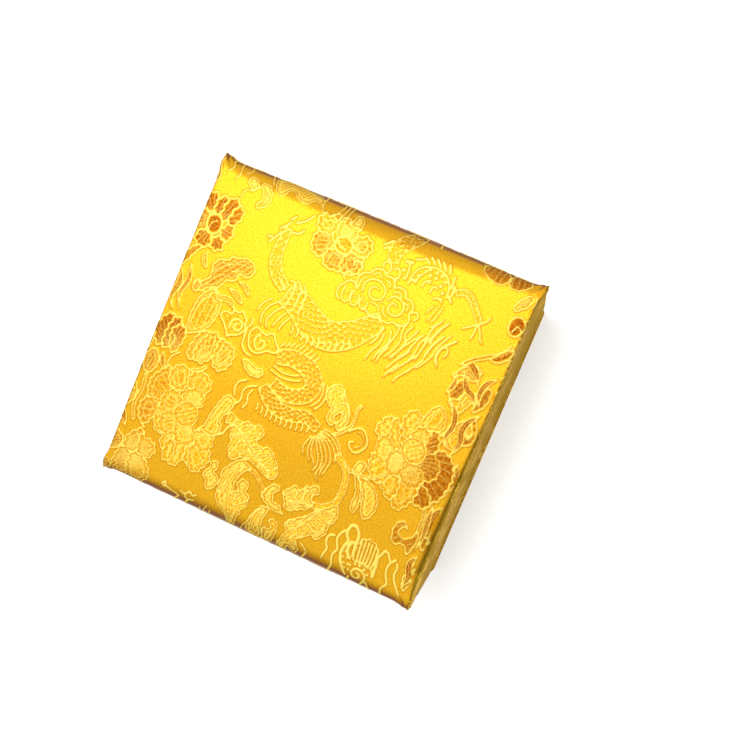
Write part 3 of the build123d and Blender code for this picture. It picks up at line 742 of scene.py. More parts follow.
def draw_leaf_cluster(loom):
    """The scalloped leaf below the coils, the bending leaf below it, and their stems."""
    inside = loom.shape([(-23, -22.8), (-20, -24), (-17, -24.4), (-15, -23.2), (-13, -24.2), (-10.6, -22.9),
        (-8.5, -24), (-7.4, -25.6), (-8.5, -28), (-9.3, -28.8), (-8, -30.5), (-6.3, -30.5), (-4.8, -29.2),
        (-2.6, -30), (-1, -31.4), (0.8, -33.4), (2.4, -36), (2.7, -37.8), (2, -39.6), (0, -40.6),
        (-2.6, -39.6), (-5.6, -38.4), (-9, -37.2), (-13, -37.2), (-15, -39), (-17.3, -39.4), (-18.6, -36),
        (-18, -34), (-20, -31.6), (-20, -29), (-21.6, -27), (-23.4, -27.6)])
    loom.hatch(inside, 60, 1.4)
    draw_blades(loom, [
        ([(-20.4, -27), (-18.6, -25.4), (-16.6, -24.9)], 2.4),
        ([(-17.4, -28.4), (-14.8, -26.4), (-11.4, -24.2)], 2.8),
        ([(-13.6, -30.4), (-11.2, -28), (-8.4, -25.4)], 3.0),
        ([(-11, -33), (-8.6, -31.6), (-5.4, -30.4)], 2.6), ([(-7.6, -35), (-4.6, -33), (-2, -31.2)], 2.8),
        ([(-4.4, -37), (-1, -36), (1.6, -35.4)], 2.8), ([(-19.6, -28), (-19.4, -30), (-19.6, -31)], 2.2),
        ([(-17, -29), (-17.4, -32.6), (-18, -36), (-17, -38.8)], 3.0),
        ([(-14.4, -30.6), (-14.6, -34), (-13.4, -37)], 3.0),
        ([(-11.4, -33.4), (-10.8, -35.4), (-9.4, -37)], 2.4), ([(-6, -36.6), (-3, -38.4), (0.4, -40)], 2.4),
        ([(-21, -26.4), (-16, -28.6), (-10.4, -33), (-4, -36.8), (1.8, -38.4)], 1.5),
    ])
    loom.stroke([(-25.5, -33.3), (-23, -31.7), (-22.2, -29.5), (-21, -27.5), (-19.6, -26.8)], 0.6)
    draw_stem(loom, [(-8, -40), (-5.4, -40.6), (-3, -42.4), (-0.6, -45), (0.6, -48)], 1.8)
    leaf(loom, [(-7.6, -39.4), (-9.6, -38.4), (-11, -37.2), (-13, -38.2), (-15, -40), (-17, -43),
        (-18.2, -45), (-17.4, -48), (-17.2, -52), (-17.3, -54.5), (-15.5, -57), (-13, -59), (-11, -61),
        (-10.4, -64), (-8.6, -66), (-7, -62.6), (-6.6, -59), (-5.6, -57), (-6.6, -55.6), (-5, -54),
        (-4.2, -51.5), (-5, -49.2), (-6.7, -48.5), (-6, -46.5), (-7.2, -44.7), (-9.5, -44.5), (-10.8, -47),
        (-9.6, -49), (-11, -50), (-11.6, -46.6), (-10.6, -43.4), (-9, -41)], 80, 1.3)
    draw_blades(loom, [
        ([(-12, -41), (-15.4, -45), (-16.6, -50), (-15.6, -55)], 2.6),
        ([(-10.6, -39), (-13, -43), (-14.2, -49), (-13.4, -56)], 2.4),
        ([(-9.8, -54.6), (-7.6, -55.4), (-5, -53.2), (-4.8, -50.4)], 2.6),
        ([(-11.4, -50), (-11.6, -55), (-9.6, -60), (-9, -65)], 2.6),
        ([(-8.6, -48.6), (-8.6, -51), (-9.8, -53.4)], 2.0),
    ])
    leaf(loom, [(-22.4, -42.2), (-20.2, -42.7), (-20, -45), (-20.6, -46.6), (-18.6, -47.6), (-17.8, -49.5),
        (-18.5, -51.4), (-19.5, -53), (-21, -53.8), (-22.6, -52.6), (-22.6, -50.6), (-24.2, -49.7),
        (-24.5, -47.5), (-23.2, -46), (-23, -43.6)], 70, 1.2)
    leaf(loom, [(5.7, -42.4), (5, -41.2), (3, -41.1), (1.2, -42.5), (0.4, -44.6), (-0.4, -46.6), (1, -48.6),
        (2.6, -49.6), (4.6, -50.6), (7, -50.7), (10, -50.4), (8.2, -49), (8, -47.8), (5, -47.6), (4, -46),
        (4.2, -44)], 80, 1.3)
    leaf(loom, [(4.4, -60), (4.7, -57.4), (5.8, -58.2), (7, -57.4), (6.6, -55.8), (5.3, -55), (6.8, -53.7),
        (8.8, -54.2), (9.8, -56.6), (9.5, -60), (8.2, -64), (5.4, -66)], 74, 1.3)
    leaf(loom, [(-2.4, -61), (-1.9, -57), (-0.5, -53.4), (1.2, -50.9), (3.5, -50.3), (4.3, -52),
        (3.4, -54.6), (3.5, -58), (4.8, -62), (3, -66.4), (-1.4, -66)], 74, 1.4)
    draw_blades(loom, [([(2.6, -51), (0.6, -55), (0.2, -60), (0.8, -65)], 2.6)])
    strokes(loom, [
        [(-19, -60), (-20.4, -64), (-21.6, -70)], [(-21.6, -62), (-23, -67)],
        [(-17.4, -61.6), (-18.8, -66.6)], [(-3, -60), (-4.4, -65), (-4, -71)],
    ], 0.42, 0.5)


def draw_scrolls(loom):
    """The leafy scrolls, the hook leaf and the spiral right of the dragon's coils."""
    draw_stem(loom, [(20.6, -21.4), (23.6, -23.4), (26.2, -26), (27.3, -30), (27.4, -34.6), (26.4, -38.4),
        (23, -41.4), (19, -42.4)], 2.7)
    loom.stroke([(24.6, -24.2), (26.6, -27), (27.4, -31), (27, -35), (26, -38.4)], 0.24)
    leaf(loom, [(7.2, -44), (6.7, -42.6), (7.6, -41.2), (8.8, -40.4), (9.5, -38.8), (11.2, -38.2),
        (12.5, -39.2), (13.4, -38.2), (14.2, -36.6), (15.6, -36.6), (17, -35.2), (19, -35.2), (20, -37.6),
        (18.5, -38.6), (18, -40.6), (19.2, -42), (18, -44.6), (15.4, -46), (13.4, -47.2), (11.2, -48.4),
        (9, -47.6), (8.4, -45.6)], 62, 1.4)
    leaf(loom, [(27.5, -38.4), (29, -40), (29.6, -42.5), (29, -45), (27.6, -47), (27.8, -49.5),
        (26.5, -52.2), (24.4, -54.2), (23, -52.6), (21.8, -53.4), (20, -55.5), (18.2, -56.6), (18.6, -58.6),
        (19.8, -61), (18.4, -64), (15.4, -61.6), (14.6, -64.6), (12, -66), (10.8, -63), (12, -59),
        (13.2, -56.4), (12.4, -55), (11.6, -53), (13, -51), (15, -49.6), (17, -48), (19.4, -46), (21, -43),
        (24, -41.4)], 64, 1.5, 0.0, 0.05)
    draw_blades(loom, [
        ([(22, -42.6), (26, -43.4), (28.2, -41)], 2.4), ([(20.6, -45), (24.6, -46.6), (28, -45.2)], 2.6),
        ([(19.4, -47.4), (23, -49.6), (27, -49)], 2.8), ([(18.4, -49.4), (21.4, -52), (24.6, -53)], 2.6),
        ([(17, -51), (18.4, -54), (20, -55.6)], 2.6), ([(15.8, -50.4), (13.6, -52.4), (12.6, -54)], 2.4),
        ([(16.4, -52.6), (14.8, -56), (13.2, -58.6), (11.6, -63)], 2.8),
        ([(17.4, -55), (17, -58), (17.8, -62)], 2.4),
        ([(23.4, -42), (20.4, -45.4), (18, -49.4), (15.6, -55)], 1.5),
    ])
    loom.stroke([(19.6, -57.4), (21.5, -58.4), (23, -60.4), (22, -63.4), (21, -68)], 0.5)
    leaf(loom, [(8.8, 0.6), (11.8, 3), (14.6, 1.6), (16.6, -1.4), (19.2, -4.4), (20, -8), (19.4, -11.2),
        (17.6, -13), (16, -11.6), (17, -8.4), (16.2, -6.6), (14.6, -8.6), (15.6, -11), (14.4, -12.4),
        (12.6, -11.6), (11.6, -9.4), (12.2, -6.8), (10, -5), (8.2, -2.4)], 100, 1.2)
    draw_blades(loom, [
        ([(8, -43.6), (8.2, -42), (9.4, -39.6)], 2.2), ([(10.6, -44.4), (11, -41.6), (12, -39.6)], 2.4),
        ([(13, -44.2), (13.4, -40.6), (14.8, -37.2)], 2.6), ([(15.6, -43.4), (16.4, -39.4), (18, -36)], 2.8),
        ([(9.6, -46), (11.6, -46.6), (14.4, -46)], 2.0), ([(19, -42.6), (14, -44.4), (8.6, -44.8)], 1.5),
        ([(9.6, 0.8), (12.6, 1.6), (15.4, -1)], 2.6), ([(14, -3.4), (17.4, -4.8), (18.8, -8.4)], 2.8),
    ])
    draw_stem(loom, [(22.5, -1), (21.5, -3.4), (21.9, -6.6), (21.4, -10), (18.6, -13.6), (16.8, -15)], 1.4)
    loom.stroke([(21.6, -11.6), (24, -9.4), (26.4, -9), (28.6, -11), (29.6, -13.6), (28.7, -16), (26.5, -18),
        (24, -17), (23.2, -15.2), (24.6, -14.5)], 0.5)
    loom.stroke([(25, -10.6), (27, -11), (27.8, -13.2), (27, -15.5), (25.4, -16.4)], 0.3)


def draw_shell(loom):
    """The shell at the front edge, with the curls and whiskers beside it."""
    loom.shape([(40.4, -47), (42, -45.2), (45, -44.6), (47.6, -46), (49, -49), (49.8, -53), (49.9, -57),
        (48.4, -55), (44.6, -53.8), (41.2, -54.4), (40, -51)], 0.0, 0.3, filled=False, scallop=0.7)
    for index in range(6):
        top = (41.4 + 1.34 * index, -47 + 1.2 * math.sin(math.pi * (index + 1) / 7))
        loom.stroke([top, (top[0] + 0.3, -50.8), (42.2 + 1.15 * index, -54.8)], 0.4, 1, 0.6)
    strokes(loom, [
        [(35, -45), (35.5, -43), (37, -42.4), (38.5, -43.5), (39.6, -45.6), (39.4, -48), (39.8, -50.6),
         (40, -53)],
        [(35, -45), (35.3, -47), (36.5, -48.6), (35.8, -51), (35.5, -54), (36.5, -57), (38, -59.5),
         (39.6, -62)], [(38, -48.4), (37.4, -50.6), (38, -53), (39.4, -54.4)],
        [(48.9, -49), (49.5, -53), (49.5, -57)],
    ], 0.7, 0.8)
    beads(loom, [(37, -52.6), (36.9, -54.8), (38.2, -54.6), (37.8, -56.8), (39.2, -56.6), (38.8, -58.6)],
        0.45)
    beads(loom, [(40.2, -58.7), (40.3, -56.5), (42, -55.4), (43.8, -55.2), (46, -55.6), (47.7, -57)], 0.6)
    loom.stroke([(47, -62), (47, -58.5), (45, -56.6), (42.5, -57.1), (41.7, -59.5), (43, -61.3),
        (44.7, -60.5), (44.8, -58.8), (43.7, -58.4)], 0.55)
    strokes(loom, [
        [(31, -49), (29.5, -49.5), (28.7, -51), (29, -53), (30, -55), (29.5, -57), (29, -60)],
        [(34, -45.7), (33, -47), (32.3, -49.5), (33, -51.5), (33.8, -53.5), (32.8, -55.5), (33, -58),
         (33.5, -60.5), (32.6, -66), (33.4, -72)],
        [(49.6, -48.4), (50.5, -46), (51.8, -46), (53, -47.5), (54, -49), (53.5, -50.6), (54, -53.5),
         (55.5, -56.5), (54.3, -59), (54, -61.5), (54.6, -67)], [(55.5, -47), (54.4, -48.6)],
        [(56.5, -48), (57.1, -50), (56.8, -52), (58, -54.5), (60, -57), (61.5, -59.6)],
        [(46.5, -62), (46, -66), (46.6, -72)], [(48, -61), (49.6, -66), (49, -71)], [(41, -62), (40.6, -67)],
    ], 0.52, 0.5)


def draw_right_edge(loom):
    """Leaves and curls along the right edge."""
    # The high shades of the leaves along this edge give them painted shade.
    draw_stem(loom, [(56.4, -23), (58.4, -27), (58.9, -32), (58.7, -35.6), (57.6, -38.6)], 1.5)
    leaf(loom, [(50.2, -39), (49.9, -36.4), (50.8, -34.2), (52.4, -33), (54.2, -33.4), (55.2, -35.2),
        (53.8, -35), (52.6, -36.2), (53, -38), (54.8, -38.6), (57, -37.4), (59, -34.4), (60, -36.6),
        (59.6, -40), (58.2, -43.8), (56.6, -41.6), (55, -40.8), (53, -42), (51, -41.4)], 40, 1.2, 0.75)
    leaf(loom, [(60.6, -24.6), (62.6, -25.4), (63.4, -28.4), (62.2, -31), (60.8, -29)], 60, 1.1, 0.9)
    leaf(loom, [(61, -31), (63.4, -32), (64.4, -36), (63, -40), (61.4, -38)], 80, 1.1, 0.8)
    leaf(loom, [(60.4, -44), (63, -46), (64, -51), (62, -56), (60, -52), (61, -48)], 80, 1.1, 0.6)
    leaf(loom, [(44.6, 0.6), (45.4, 4.6), (47, 8.6), (50, 10), (52.4, 7.6), (53.4, 4), (52.8, 1.6),
        (49, 0.4)], 70, 3.0)
    leaf(loom, [(50.6, 13), (53, 10.4), (54.6, 6.6), (54, 2), (52.9, 0.4), (54.4, 0.8), (56, 4.4), (55.4, 9),
        (53, 12.6)], 80, 1.0, 0.85)
    leaf(loom, [(55.8, 18), (54.6, 14.6), (54.9, 11.4), (56.2, 9.8), (58.2, 13), (60, 17.4), (58, 19)], 90,
        3.0)
    leaf(loom, [(55, 1.4), (56, 5), (58, 7.7), (60.2, 8.3), (62.2, 7.4), (63.4, 5.4), (62, 1), (60.4, -3),
        (57, -2.6)], 60, 3.0)
    leaf(loom, [(59.8, 9.4), (62.4, 10.4), (64.4, 7.6), (65.2, 3.6), (63.8, 0.6), (61.4, 0.2), (60.4, 2.6),
        (61.8, 4.6), (62.6, 3), (63.4, 4.6), (62, 7.6)], 80, 1.0, 0.95)
    leaf(loom, [(50, 14.4), (51.6, 20.4), (54.6, 22), (55.4, 18), (53.6, 14)], 60, 1.0, 0.9)
    leaf(loom, [(60, 12), (62.6, 13.4), (64.6, 17.4), (64, 22), (61, 20.4), (60.4, 16)], 80, 1.0, 0.9)
    leaf(loom, [(48.6, 21), (51, 25.4), (55, 28), (58.4, 26), (57, 22), (53, 22.8)], 50, 1.2, 0.5)
    draw_blades(loom, [
        ([(52, 13), (55, 9.4), (56, 5), (55, 0), (56.6, -4)], 2.6),
        ([(64, 12), (61, 9), (59.6, 5), (60.6, 0), (58.6, -6)], 2.8),
        ([(52.4, 24), (55.4, 19), (58.4, 17.4), (61, 13)], 2.6),
        ([(49.6, 26), (53, 27.6), (57, 24.6), (59, 20.6)], 2.8),
        ([(64.6, 26), (61.4, 23), (60.4, 18.6), (62.4, 14)], 2.6), ([(49, 15), (50.6, 19), (50, 23.4)], 2.2),
        ([(62.6, -6), (63.8, -11), (63, -17), (61, -21)], 2.6),
        ([(64.6, -22), (62.4, -26), (62.2, -32), (63.8, -38)], 2.8),
        ([(60.4, -23), (60.8, -29), (61.2, -35), (60.4, -41)], 2.2),
        ([(62.4, -42), (60.6, -46), (62, -51), (60.6, -56)], 2.8),
    ], 0.95)
    draw_stem(loom, [(50.6, 26.6), (54, 29.6), (58, 32), (62, 34.4), (65, 38)], 1.8, 0.4)
    leaf(loom, [(59, 31.4), (62, 31), (65.4, 33.6), (66, 37), (63.4, 36.4), (61, 34)], 40, 1.1, 0.9)
    loom.shape([(60.4, 43.4), (60.4, 46.8), (62, 48.8), (64.8, 48.6), (66.6, 45.6), (65, 42), (62.4, 41.4)],
        1.0, 0.42)
    loom.stroke([(62.4, 43), (63.6, 45.4), (65.6, 44)], 0.4)
    leaf(loom, [(60, 50), (62.4, 51), (65, 53.6), (64.6, 57), (61.6, 55.4), (59.8, 52.6)], 50, 1.1, 0.3)


def draw_left_edge(loom):
    """Leaves, loops and flowers along the left edge."""
    # The high shades of the flowers and leaves along this edge give them painted shade.
    petals(loom, (-56, 38), [
        ([(-59, 41.6), (-62, 42.4), (-62.6, 46), (-60, 48.4), (-57.6, 46.4), (-57, 43)], 0.9),
        ([(-57.6, 42), (-58, 46), (-56, 48.4), (-53.8, 47.4), (-53.6, 43), (-55, 41.4)], 0.95),
        ([(-54.6, 41.4), (-54.6, 46), (-52.8, 49), (-50, 48.6), (-50, 44.6), (-52, 41)], 0.9),
        ([(-51.4, 41), (-50.6, 45.4), (-48.6, 47.4), (-46.8, 45.4), (-47.6, 42), (-50, 39.6)], 0.85),
        ([(-52, 38.4), (-49.4, 40), (-47.8, 37.6), (-48.8, 34.6), (-51.4, 34.4), (-52.6, 36.4)], 0.8),
        ([(-53.6, 34), (-50.6, 33.8), (-49.6, 31), (-52, 29.4), (-54.6, 30.6)], 0.9),
        ([(-60, 34.4), (-56, 33.6), (-55, 30.6), (-58, 28.6), (-61, 30.4)], 0.85),
        ([(-60, 41), (-63.4, 40), (-64, 36), (-61, 34), (-58.6, 36)], 0.7),
    ], 30)
    loom.shape([(-59.4, 39.6), (-57.6, 41.4), (-55.4, 41.8), (-53.4, 40.4), (-52.7, 38), (-53.4, 35.4),
        (-56, 34), (-58.6, 35.6)], 0.95, 0.5)
    loom.stroke([(-57.4, 35.4), (-57, 38), (-55, 39.6)], 0.34)
    leaf(loom, [(-57, 29), (-59, 25), (-61.4, 20.4), (-63.6, 19), (-62.8, 24), (-60.4, 28)], 60, 1.1, 0.85)
    leaf(loom, [(-55, 17), (-52.6, 17.4), (-50, 20), (-50.6, 24.5), (-48.5, 27.6), (-46, 28), (-44.4, 30.2),
        (-42, 30.4), (-39.6, 31.6), (-36.6, 31.2), (-34.4, 29.6), (-34.2, 27), (-36.4, 24.6), (-39, 25),
        (-40, 22), (-43, 21), (-45, 17.6), (-48.6, 16), (-51.4, 13.6), (-54.6, 13.6)], 52, 1.7, 0.55)
    strokes(loom, [
        [(-49.6, 22), (-45.6, 26), (-41, 28.4), (-37, 28.6)], [(-44.6, 26.6), (-42.4, 25), (-39.8, 26.4)],
        [(-51, 16), (-47.6, 20.6), (-44.4, 23)],
    ], 0.3)
    leaf(loom, [(-55, 15.5), (-53.8, 17), (-52, 16), (-52.4, 13.4), (-54.4, 12.8)], 40, 1.0, 0.6)
    leaf(loom, [(-51, -2), (-51.8, 3), (-51.4, 9.4), (-49.6, 14), (-46, 16.6), (-43, 14.8), (-41.4, 11),
        (-42, 5), (-44.4, 1), (-48, -1.6)], 84, 2.6, 0.1)
    loom.stroke([(-50.4, 6), (-49, 11), (-46.4, 13.4), (-44.2, 12)], 0.36)
    petals(loom, (-55, -11), [
        ([(-61, -9), (-62.6, -4), (-60.4, 0.6), (-57.6, 1.4), (-57, -4), (-58.6, -9.6)], 0.95),
        ([(-58, -9), (-58, -3), (-56.4, 1), (-53.6, 0.4), (-53.6, -4), (-55.4, -9.6)], 0.95),
        ([(-56, -4.4), (-54.6, -1.6), (-52, -1.2), (-50.6, -3.4), (-51, -7), (-52.6, -10.6), (-54.6, -9)],
         0.85),
    ], 40)
    strokes(loom, [
        [(-55, -4.8), (-53.8, -6), (-54.3, -9.4)], [(-50, -10), (-52.4, -12.4), (-53, -15.6), (-50, -18)],
    ], 0.45)
    leaf(loom, [(-60, -12), (-57.4, -14), (-56.6, -18), (-59, -21.6), (-62, -20), (-62.6, -15)], 80, 1.2,
        0.6)
    draw_blades(loom, [
        ([(-62.6, 20), (-60.4, 14), (-61.4, 8), (-59, 3)], 2.6),
        ([(-58.6, 22), (-57.4, 16), (-58.6, 10), (-56.6, 4)], 2.4),
        ([(-64, -4), (-63, -10), (-64.4, -16), (-62.6, -22)], 2.6),
        ([(-56.6, -12), (-55, -16), (-52.6, -18.6)], 2.4), ([(-64, -36), (-62, -40), (-60, -43.6)], 2.6),
        ([(-63.6, 50), (-61.6, 54), (-62.6, 59), (-61, 64)], 2.4),
    ], 0.8)
    draw_blades(loom, [
        ([(-36, 12.6), (-39.4, 15), (-43.6, 14.6), (-47, 17)], 2.6),
        ([(-34, 15.4), (-37.6, 18), (-41.6, 19)], 2.6), ([(-33, 19), (-35.4, 22), (-39, 22.6)], 2.4),
        ([(-52.4, 22), (-54.6, 25.4), (-54, 28.6)], 2.4),
    ], 0.35)
    draw_stem(loom, [(-59.6, -22), (-59, -28), (-60, -34), (-58, -40)], 1.6, 0.5)
    leaf(loom, [(-63, -26), (-60.6, -29), (-61.4, -34), (-64.4, -36), (-65, -30)], 90, 1.2, 0.5)
    loom.stroke([(-52.8, -32.6), (-54.3, -36.4), (-54, -40), (-52.6, -41)], 0.5)
    petals(loom, (-54, -52), [
        ([(-53, -42.4), (-55.6, -43.6), (-58, -46.6), (-57.8, -50.4), (-54.6, -51), (-51.6, -48)], 0.4),
        ([(-52.6, -43.8), (-50.8, -44.9), (-49, -44.8), (-46.8, -46), (-45.8, -48), (-47, -50.6),
         (-49.4, -51.6), (-52, -49.6)], 0.3),
        ([(-58, -51), (-60, -55), (-59.8, -60), (-57, -64), (-53, -60), (-53.4, -54)], 0.5),
        ([(-53.4, -52), (-49.5, -52.2), (-47.4, -53.6), (-45.9, -55.6), (-45.1, -58), (-46, -60.6),
         (-49, -63.6), (-52.6, -62), (-54, -57)], 0.3),
    ], 40)
    leaf(loom, [(-66, -46), (-62, -45.4), (-59, -48), (-60.4, -52), (-64, -53), (-67, -51)], 30, 1.2, 0.7)
    leaf(loom, [(-66, -56), (-62.6, -56.6), (-60.6, -60.6), (-62, -65), (-66, -66)], 60, 1.2, 0.7)


def draw_front_strokes(loom):
    """The small branch of pale strokes on the front roll."""
    strokes(loom, [
        [(-38.6, -58.8), (-37.4, -57.4), (-36.4, -59.4), (-33, -60.4), (-30.6, -61.6)],
        [(-30.6, -58.6), (-28.6, -59.2), (-27, -57.4), (-25.4, -58.6), (-23.9, -57.4)],
        [(-28.6, -59), (-27.6, -61.2), (-24.4, -60.4)], [(-31, -61.6), (-33, -65.6), (-32.4, -70)],
        [(-27, -61.4), (-28.4, -66), (-28, -71)], [(-38.4, -58.6), (-37.4, -59.8), (-36.2, -59.2)],
    ], 0.62, 0.6)


def draw_picture(loom):
    """The whole woven picture of the cover, in millimetres from the middle of the top."""
    draw_left_edge(loom)
    draw_right_edge(loom)
    draw_back_wave(loom)
    draw_top_peony(loom)
    draw_clouds(loom)
    draw_left_peony(loom)
    draw_leaf_cluster(loom)
    draw_scrolls(loom)
    loom.weight = SHELL_WEIGHT
    draw_shell(loom)
    loom.weight = WEIGHT
    draw_right_peony(loom)
    draw_front_strokes(loom)
    draw_dragon_tail(loom)
    draw_dragon_coils(loom)
    draw_dragon_chest(loom)
    draw_dragon_arch(loom)
    draw_dragon_head(loom)


def between(middle, end, share):
    """A size that goes from its middle value to its end value with the square of the share."""
    return middle + (end - middle) * share * share


SEW, CLOSE = 2e-6, 1e-7


def mesh_from(name, form):
    """A mesh made from a bmesh, which isn't needed after it."""
    mesh = bpy.data.meshes.new(name)
    form.to_mesh(mesh)
    form.free()
    return mesh


def add_piece(name, data):
    """Puts a mesh, a lamp or a camera in the scene."""
    piece = bpy.data.objects.new(name, data)
    bpy.context.scene.collection.objects.link(piece)
    return piece


def smooth(mesh):
    """Shades a whole mesh smooth."""
    mesh.polygons.foreach_set("use_smooth", np.ones(len(mesh.polygons), bool))


def read(items, key, width=1):
    """A value of all a mesh's points or corners, as an array."""
    flat = np.zeros(len(items) * width, np.float32)
    items.foreach_get(key, flat)
    return flat.reshape(-1, width).astype(float)


def add_values(mesh, name, values):
    """Stores a number for each of a mesh's points."""
    layer = mesh.attributes.new(name, "FLOAT", "POINT")
    layer.data.foreach_set("value", values.astype(np.float32))


def grid_mesh(name, place, cloth, closed=False, flip=False):
    """A cloth laid on a grid. Place holds a point in millimetres for each row and column, and cloth where
    that point lies on the flat cloth. A closed grid joins its last column to its first."""
    rows, columns = place.shape[:2]
    form = bmesh.new()
    bmesh.ops.create_grid(form, x_segments=columns - 1, y_segments=rows - 1, size=0.5)
    mesh = mesh_from(name, form)
    flat = read(mesh.vertices, "co", 3) + 0.5
    column = np.rint(flat[:, 0] * (columns - 1)).astype(int)
    row = np.rint(flat[:, 1] * (rows - 1)).astype(int)
    mesh.vertices.foreach_set("co", (place[row, column] * MM).astype(np.float32).ravel())
    lie = cloth[row, column]
    add_values(mesh, "cloth_u", lie[:, 0])
    add_values(mesh, "cloth_v", lie[:, 1])
    corner = np.zeros(len(mesh.loops), int)
    mesh.loops.foreach_get("vertex_index", corner)
    layer = mesh.uv_layers.new(name="OFBake")
    layer.data.foreach_set("uv", ((lie[corner] / CLOTH_HALF + 1) / 2).astype(np.float32).ravel())
    if closed or flip:
        form = bmesh.new()
        form.from_mesh(mesh)
        if closed:
            bmesh.ops.remove_doubles(form, verts=form.verts, dist=CLOSE)
        if flip:
            bmesh.ops.reverse_faces(form, faces=form.faces)
        form.to_mesh(mesh)
        form.free()
    return mesh


def joined(name, meshes):
    """Several meshes sewn into one object along the edges that they share."""
    form = bmesh.new()
    for mesh in meshes:
        form.from_mesh(mesh)
        bpy.data.meshes.remove(mesh)
    bmesh.ops.remove_doubles(form, verts=form.verts, dist=SEW)
    whole = mesh_from(name, form)
    smooth(whole)
    return add_piece(name, whole)


def points_of(mesh):
    """A mesh's points in millimetres."""
    return read(mesh.vertices, "co", 3) / MM


def put_points(mesh, points):
    """Moves a mesh's points to new places in millimetres."""
    mesh.vertices.foreach_set("co", (points * MM).astype(np.float32).ravel())
    mesh.update()


REPEAT = (127.0, 122.0)
FIRST_REPEAT = (65.6, 66.5)
PICTURE_SHIFT = (1.73, 0.12)
PICTURE_SKEW = (0.0109, -0.005)
# Power on the back roll's tilt, so that the painted shade starts later there than on the front roll.
BACK_LEAN_POWER = 1.8
RISES = (("line", 1.0, 0.3, 0.5), ("petal", 0.55, 0.5, 0.2), ("rib", 0.8, 0.3, 0.5))


def woven(loom, key, u, v):
    """A field of the picture at any points of the cloth. Past its borders the picture starts again."""
    field = getattr(loom, key)
    value = loom.sample(field, u, v)
    for axis, place in ((0, u), (1, v)):
        past = np.abs(place) - FIRST_REPEAT[axis]
        step = [0.0, 0.0]
        step[axis] = np.sign(place) * REPEAT[axis]
        again = loom.sample(field, u - step[0], v - step[1])
        if key == "shade":
            value = np.where(past > 0, again, value)
        else:
            value = np.where(past > -FIELD_LIMIT, np.maximum(value, np.minimum(again, past)), value)
    return value


def weave(piece, loom, shift=(0.0, 0.0), relief=0.0):
    """Puts the woven picture on a piece: its fields, how far the cloth turns from level and to an end,
    and floats that stand up from the ground."""
    mesh = piece.data
    u = read(mesh.attributes["cloth_u"].data, "value")[:, 0] + shift[0]
    v = read(mesh.attributes["cloth_v"].data, "value")[:, 0] + shift[1]
    u, v = u + PICTURE_SHIFT[0] + PICTURE_SKEW[0] * v, v + PICTURE_SHIFT[1] + PICTURE_SKEW[1] * u
    found = {key: woven(loom, key, u, v) for key in ("line", "petal", "rib", "shade")}
    facing = read(mesh.vertices, "normal", 3)
    # How far the cloth tilts from level and how far it faces an end: these set where the brocade's colour
    # gets painted shade.
    power = np.where(facing[:, 1] > 0, BACK_LEAN_POWER, 1.0)
    found["lean"] = np.maximum(1 - facing[:, 2], 0) ** power
    found["end"] = np.abs(facing[:, 0])
    for key, values in found.items():
        add_values(mesh, "weave_" + key, values)
    if relief:
        raised = np.zeros(len(u))
        for key, height, width, start in RISES:
            raised = np.maximum(raised, height * np.clip(found[key] / width + start, 0, 1))
        put_points(mesh, points_of(mesh) + facing * (raised * relief)[:, None])


class LidShape:
    """The padded lid's outside, from the frame's sizes and the lid's own properties. Millimetres."""

    def __init__(self, form):
        low, high = node_box("lid_brocade")
        self.bottom, self.top = low[2], high[2]
        self.ear_width, self.roll_depth = high[0], high[1]
        for key in ("middle_roll", "ear_roll", "middle_crown", "end_crown", "end_drop", "flare",
                    "flare_length", "edge", "soft_edge"):
            setattr(self, key, getattr(form, key) / MM)
        self.end = self.ear_width - self.flare
        self.ear_depth = self.roll_depth - form.ear_draw / MM
        self.flare_start = self.ear_depth - self.flare_length
        self.foot = node_box("base_cloth")[1][1] - form.foot_inset / MM
        past_ear = 3.0
        self.reach = self.ear_width + past_ear

    def end_at(self, y):
        """Half width of the lid at a depth: straight, then flaring to the ears."""
        past = np.clip(np.abs(y) - self.flare_start, 0, self.flare_length)
        radius = (self.flare_length**2 + self.flare**2) / (2 * self.flare)
        return self.end + radius - np.sqrt(radius**2 - past**2)

    def profile(self, share, along):
        """Depth, height and outward direction of the section at a share, for along from 0 at the middle of
        the crown to 1 at the roll, 2 where the roll is widest, and 3 at the foot."""
        height = self.top - self.end_drop * share**2
        crown = between(self.middle_crown, self.end_crown, share)
        bulge = between(self.roll_depth, self.ear_depth, share)
        radius = between(self.middle_roll, self.ear_roll, share)
        lean = 2 * np.arctan(crown / (bulge - radius))
        edge_y = bulge - radius + radius * np.sin(lean)
        roll_z = height - crown - radius * np.cos(lean)
        crown_radius = (edge_y**2 + crown**2) / (2 * crown)
        swing = np.clip(along, 0, 1) * np.arcsin(edge_y / crown_radius)
        turn = (2 - np.clip(along, 1, 2)) * (math.pi / 2 - lean)
        overhang, drop = bulge - self.foot, roll_z - self.bottom
        side_radius = (overhang ** 2 + drop ** 2) / (2 * overhang)
        fall = (np.clip(along, 2, 3) - 2) * np.arcsin(drop / side_radius)
        on_crown, on_roll = along <= 1, (along > 1) & (along <= 2)
        y = np.where(on_crown, crown_radius * np.sin(swing), bulge - radius + radius * np.cos(turn))
        y = np.where(along > 2, bulge - side_radius * (1 - np.cos(fall)), y)
        z = np.where(on_crown, height - crown_radius * (1 - np.cos(swing)), roll_z + radius * np.sin(turn))
        z = np.where(along > 2, roll_z - side_radius * np.sin(fall), z)
        tilt = np.where(on_crown, math.pi / 2 - swing, np.where(on_roll, turn, -fall))
        return y, z, np.cos(tilt), np.sin(tilt)


def steps(start, end, length, pitch):
    """Evenly spaced values from start up to but not including end, a pitch apart over a length."""
    return np.linspace(start, end, max(2, round(length / pitch)), endpoint=False)


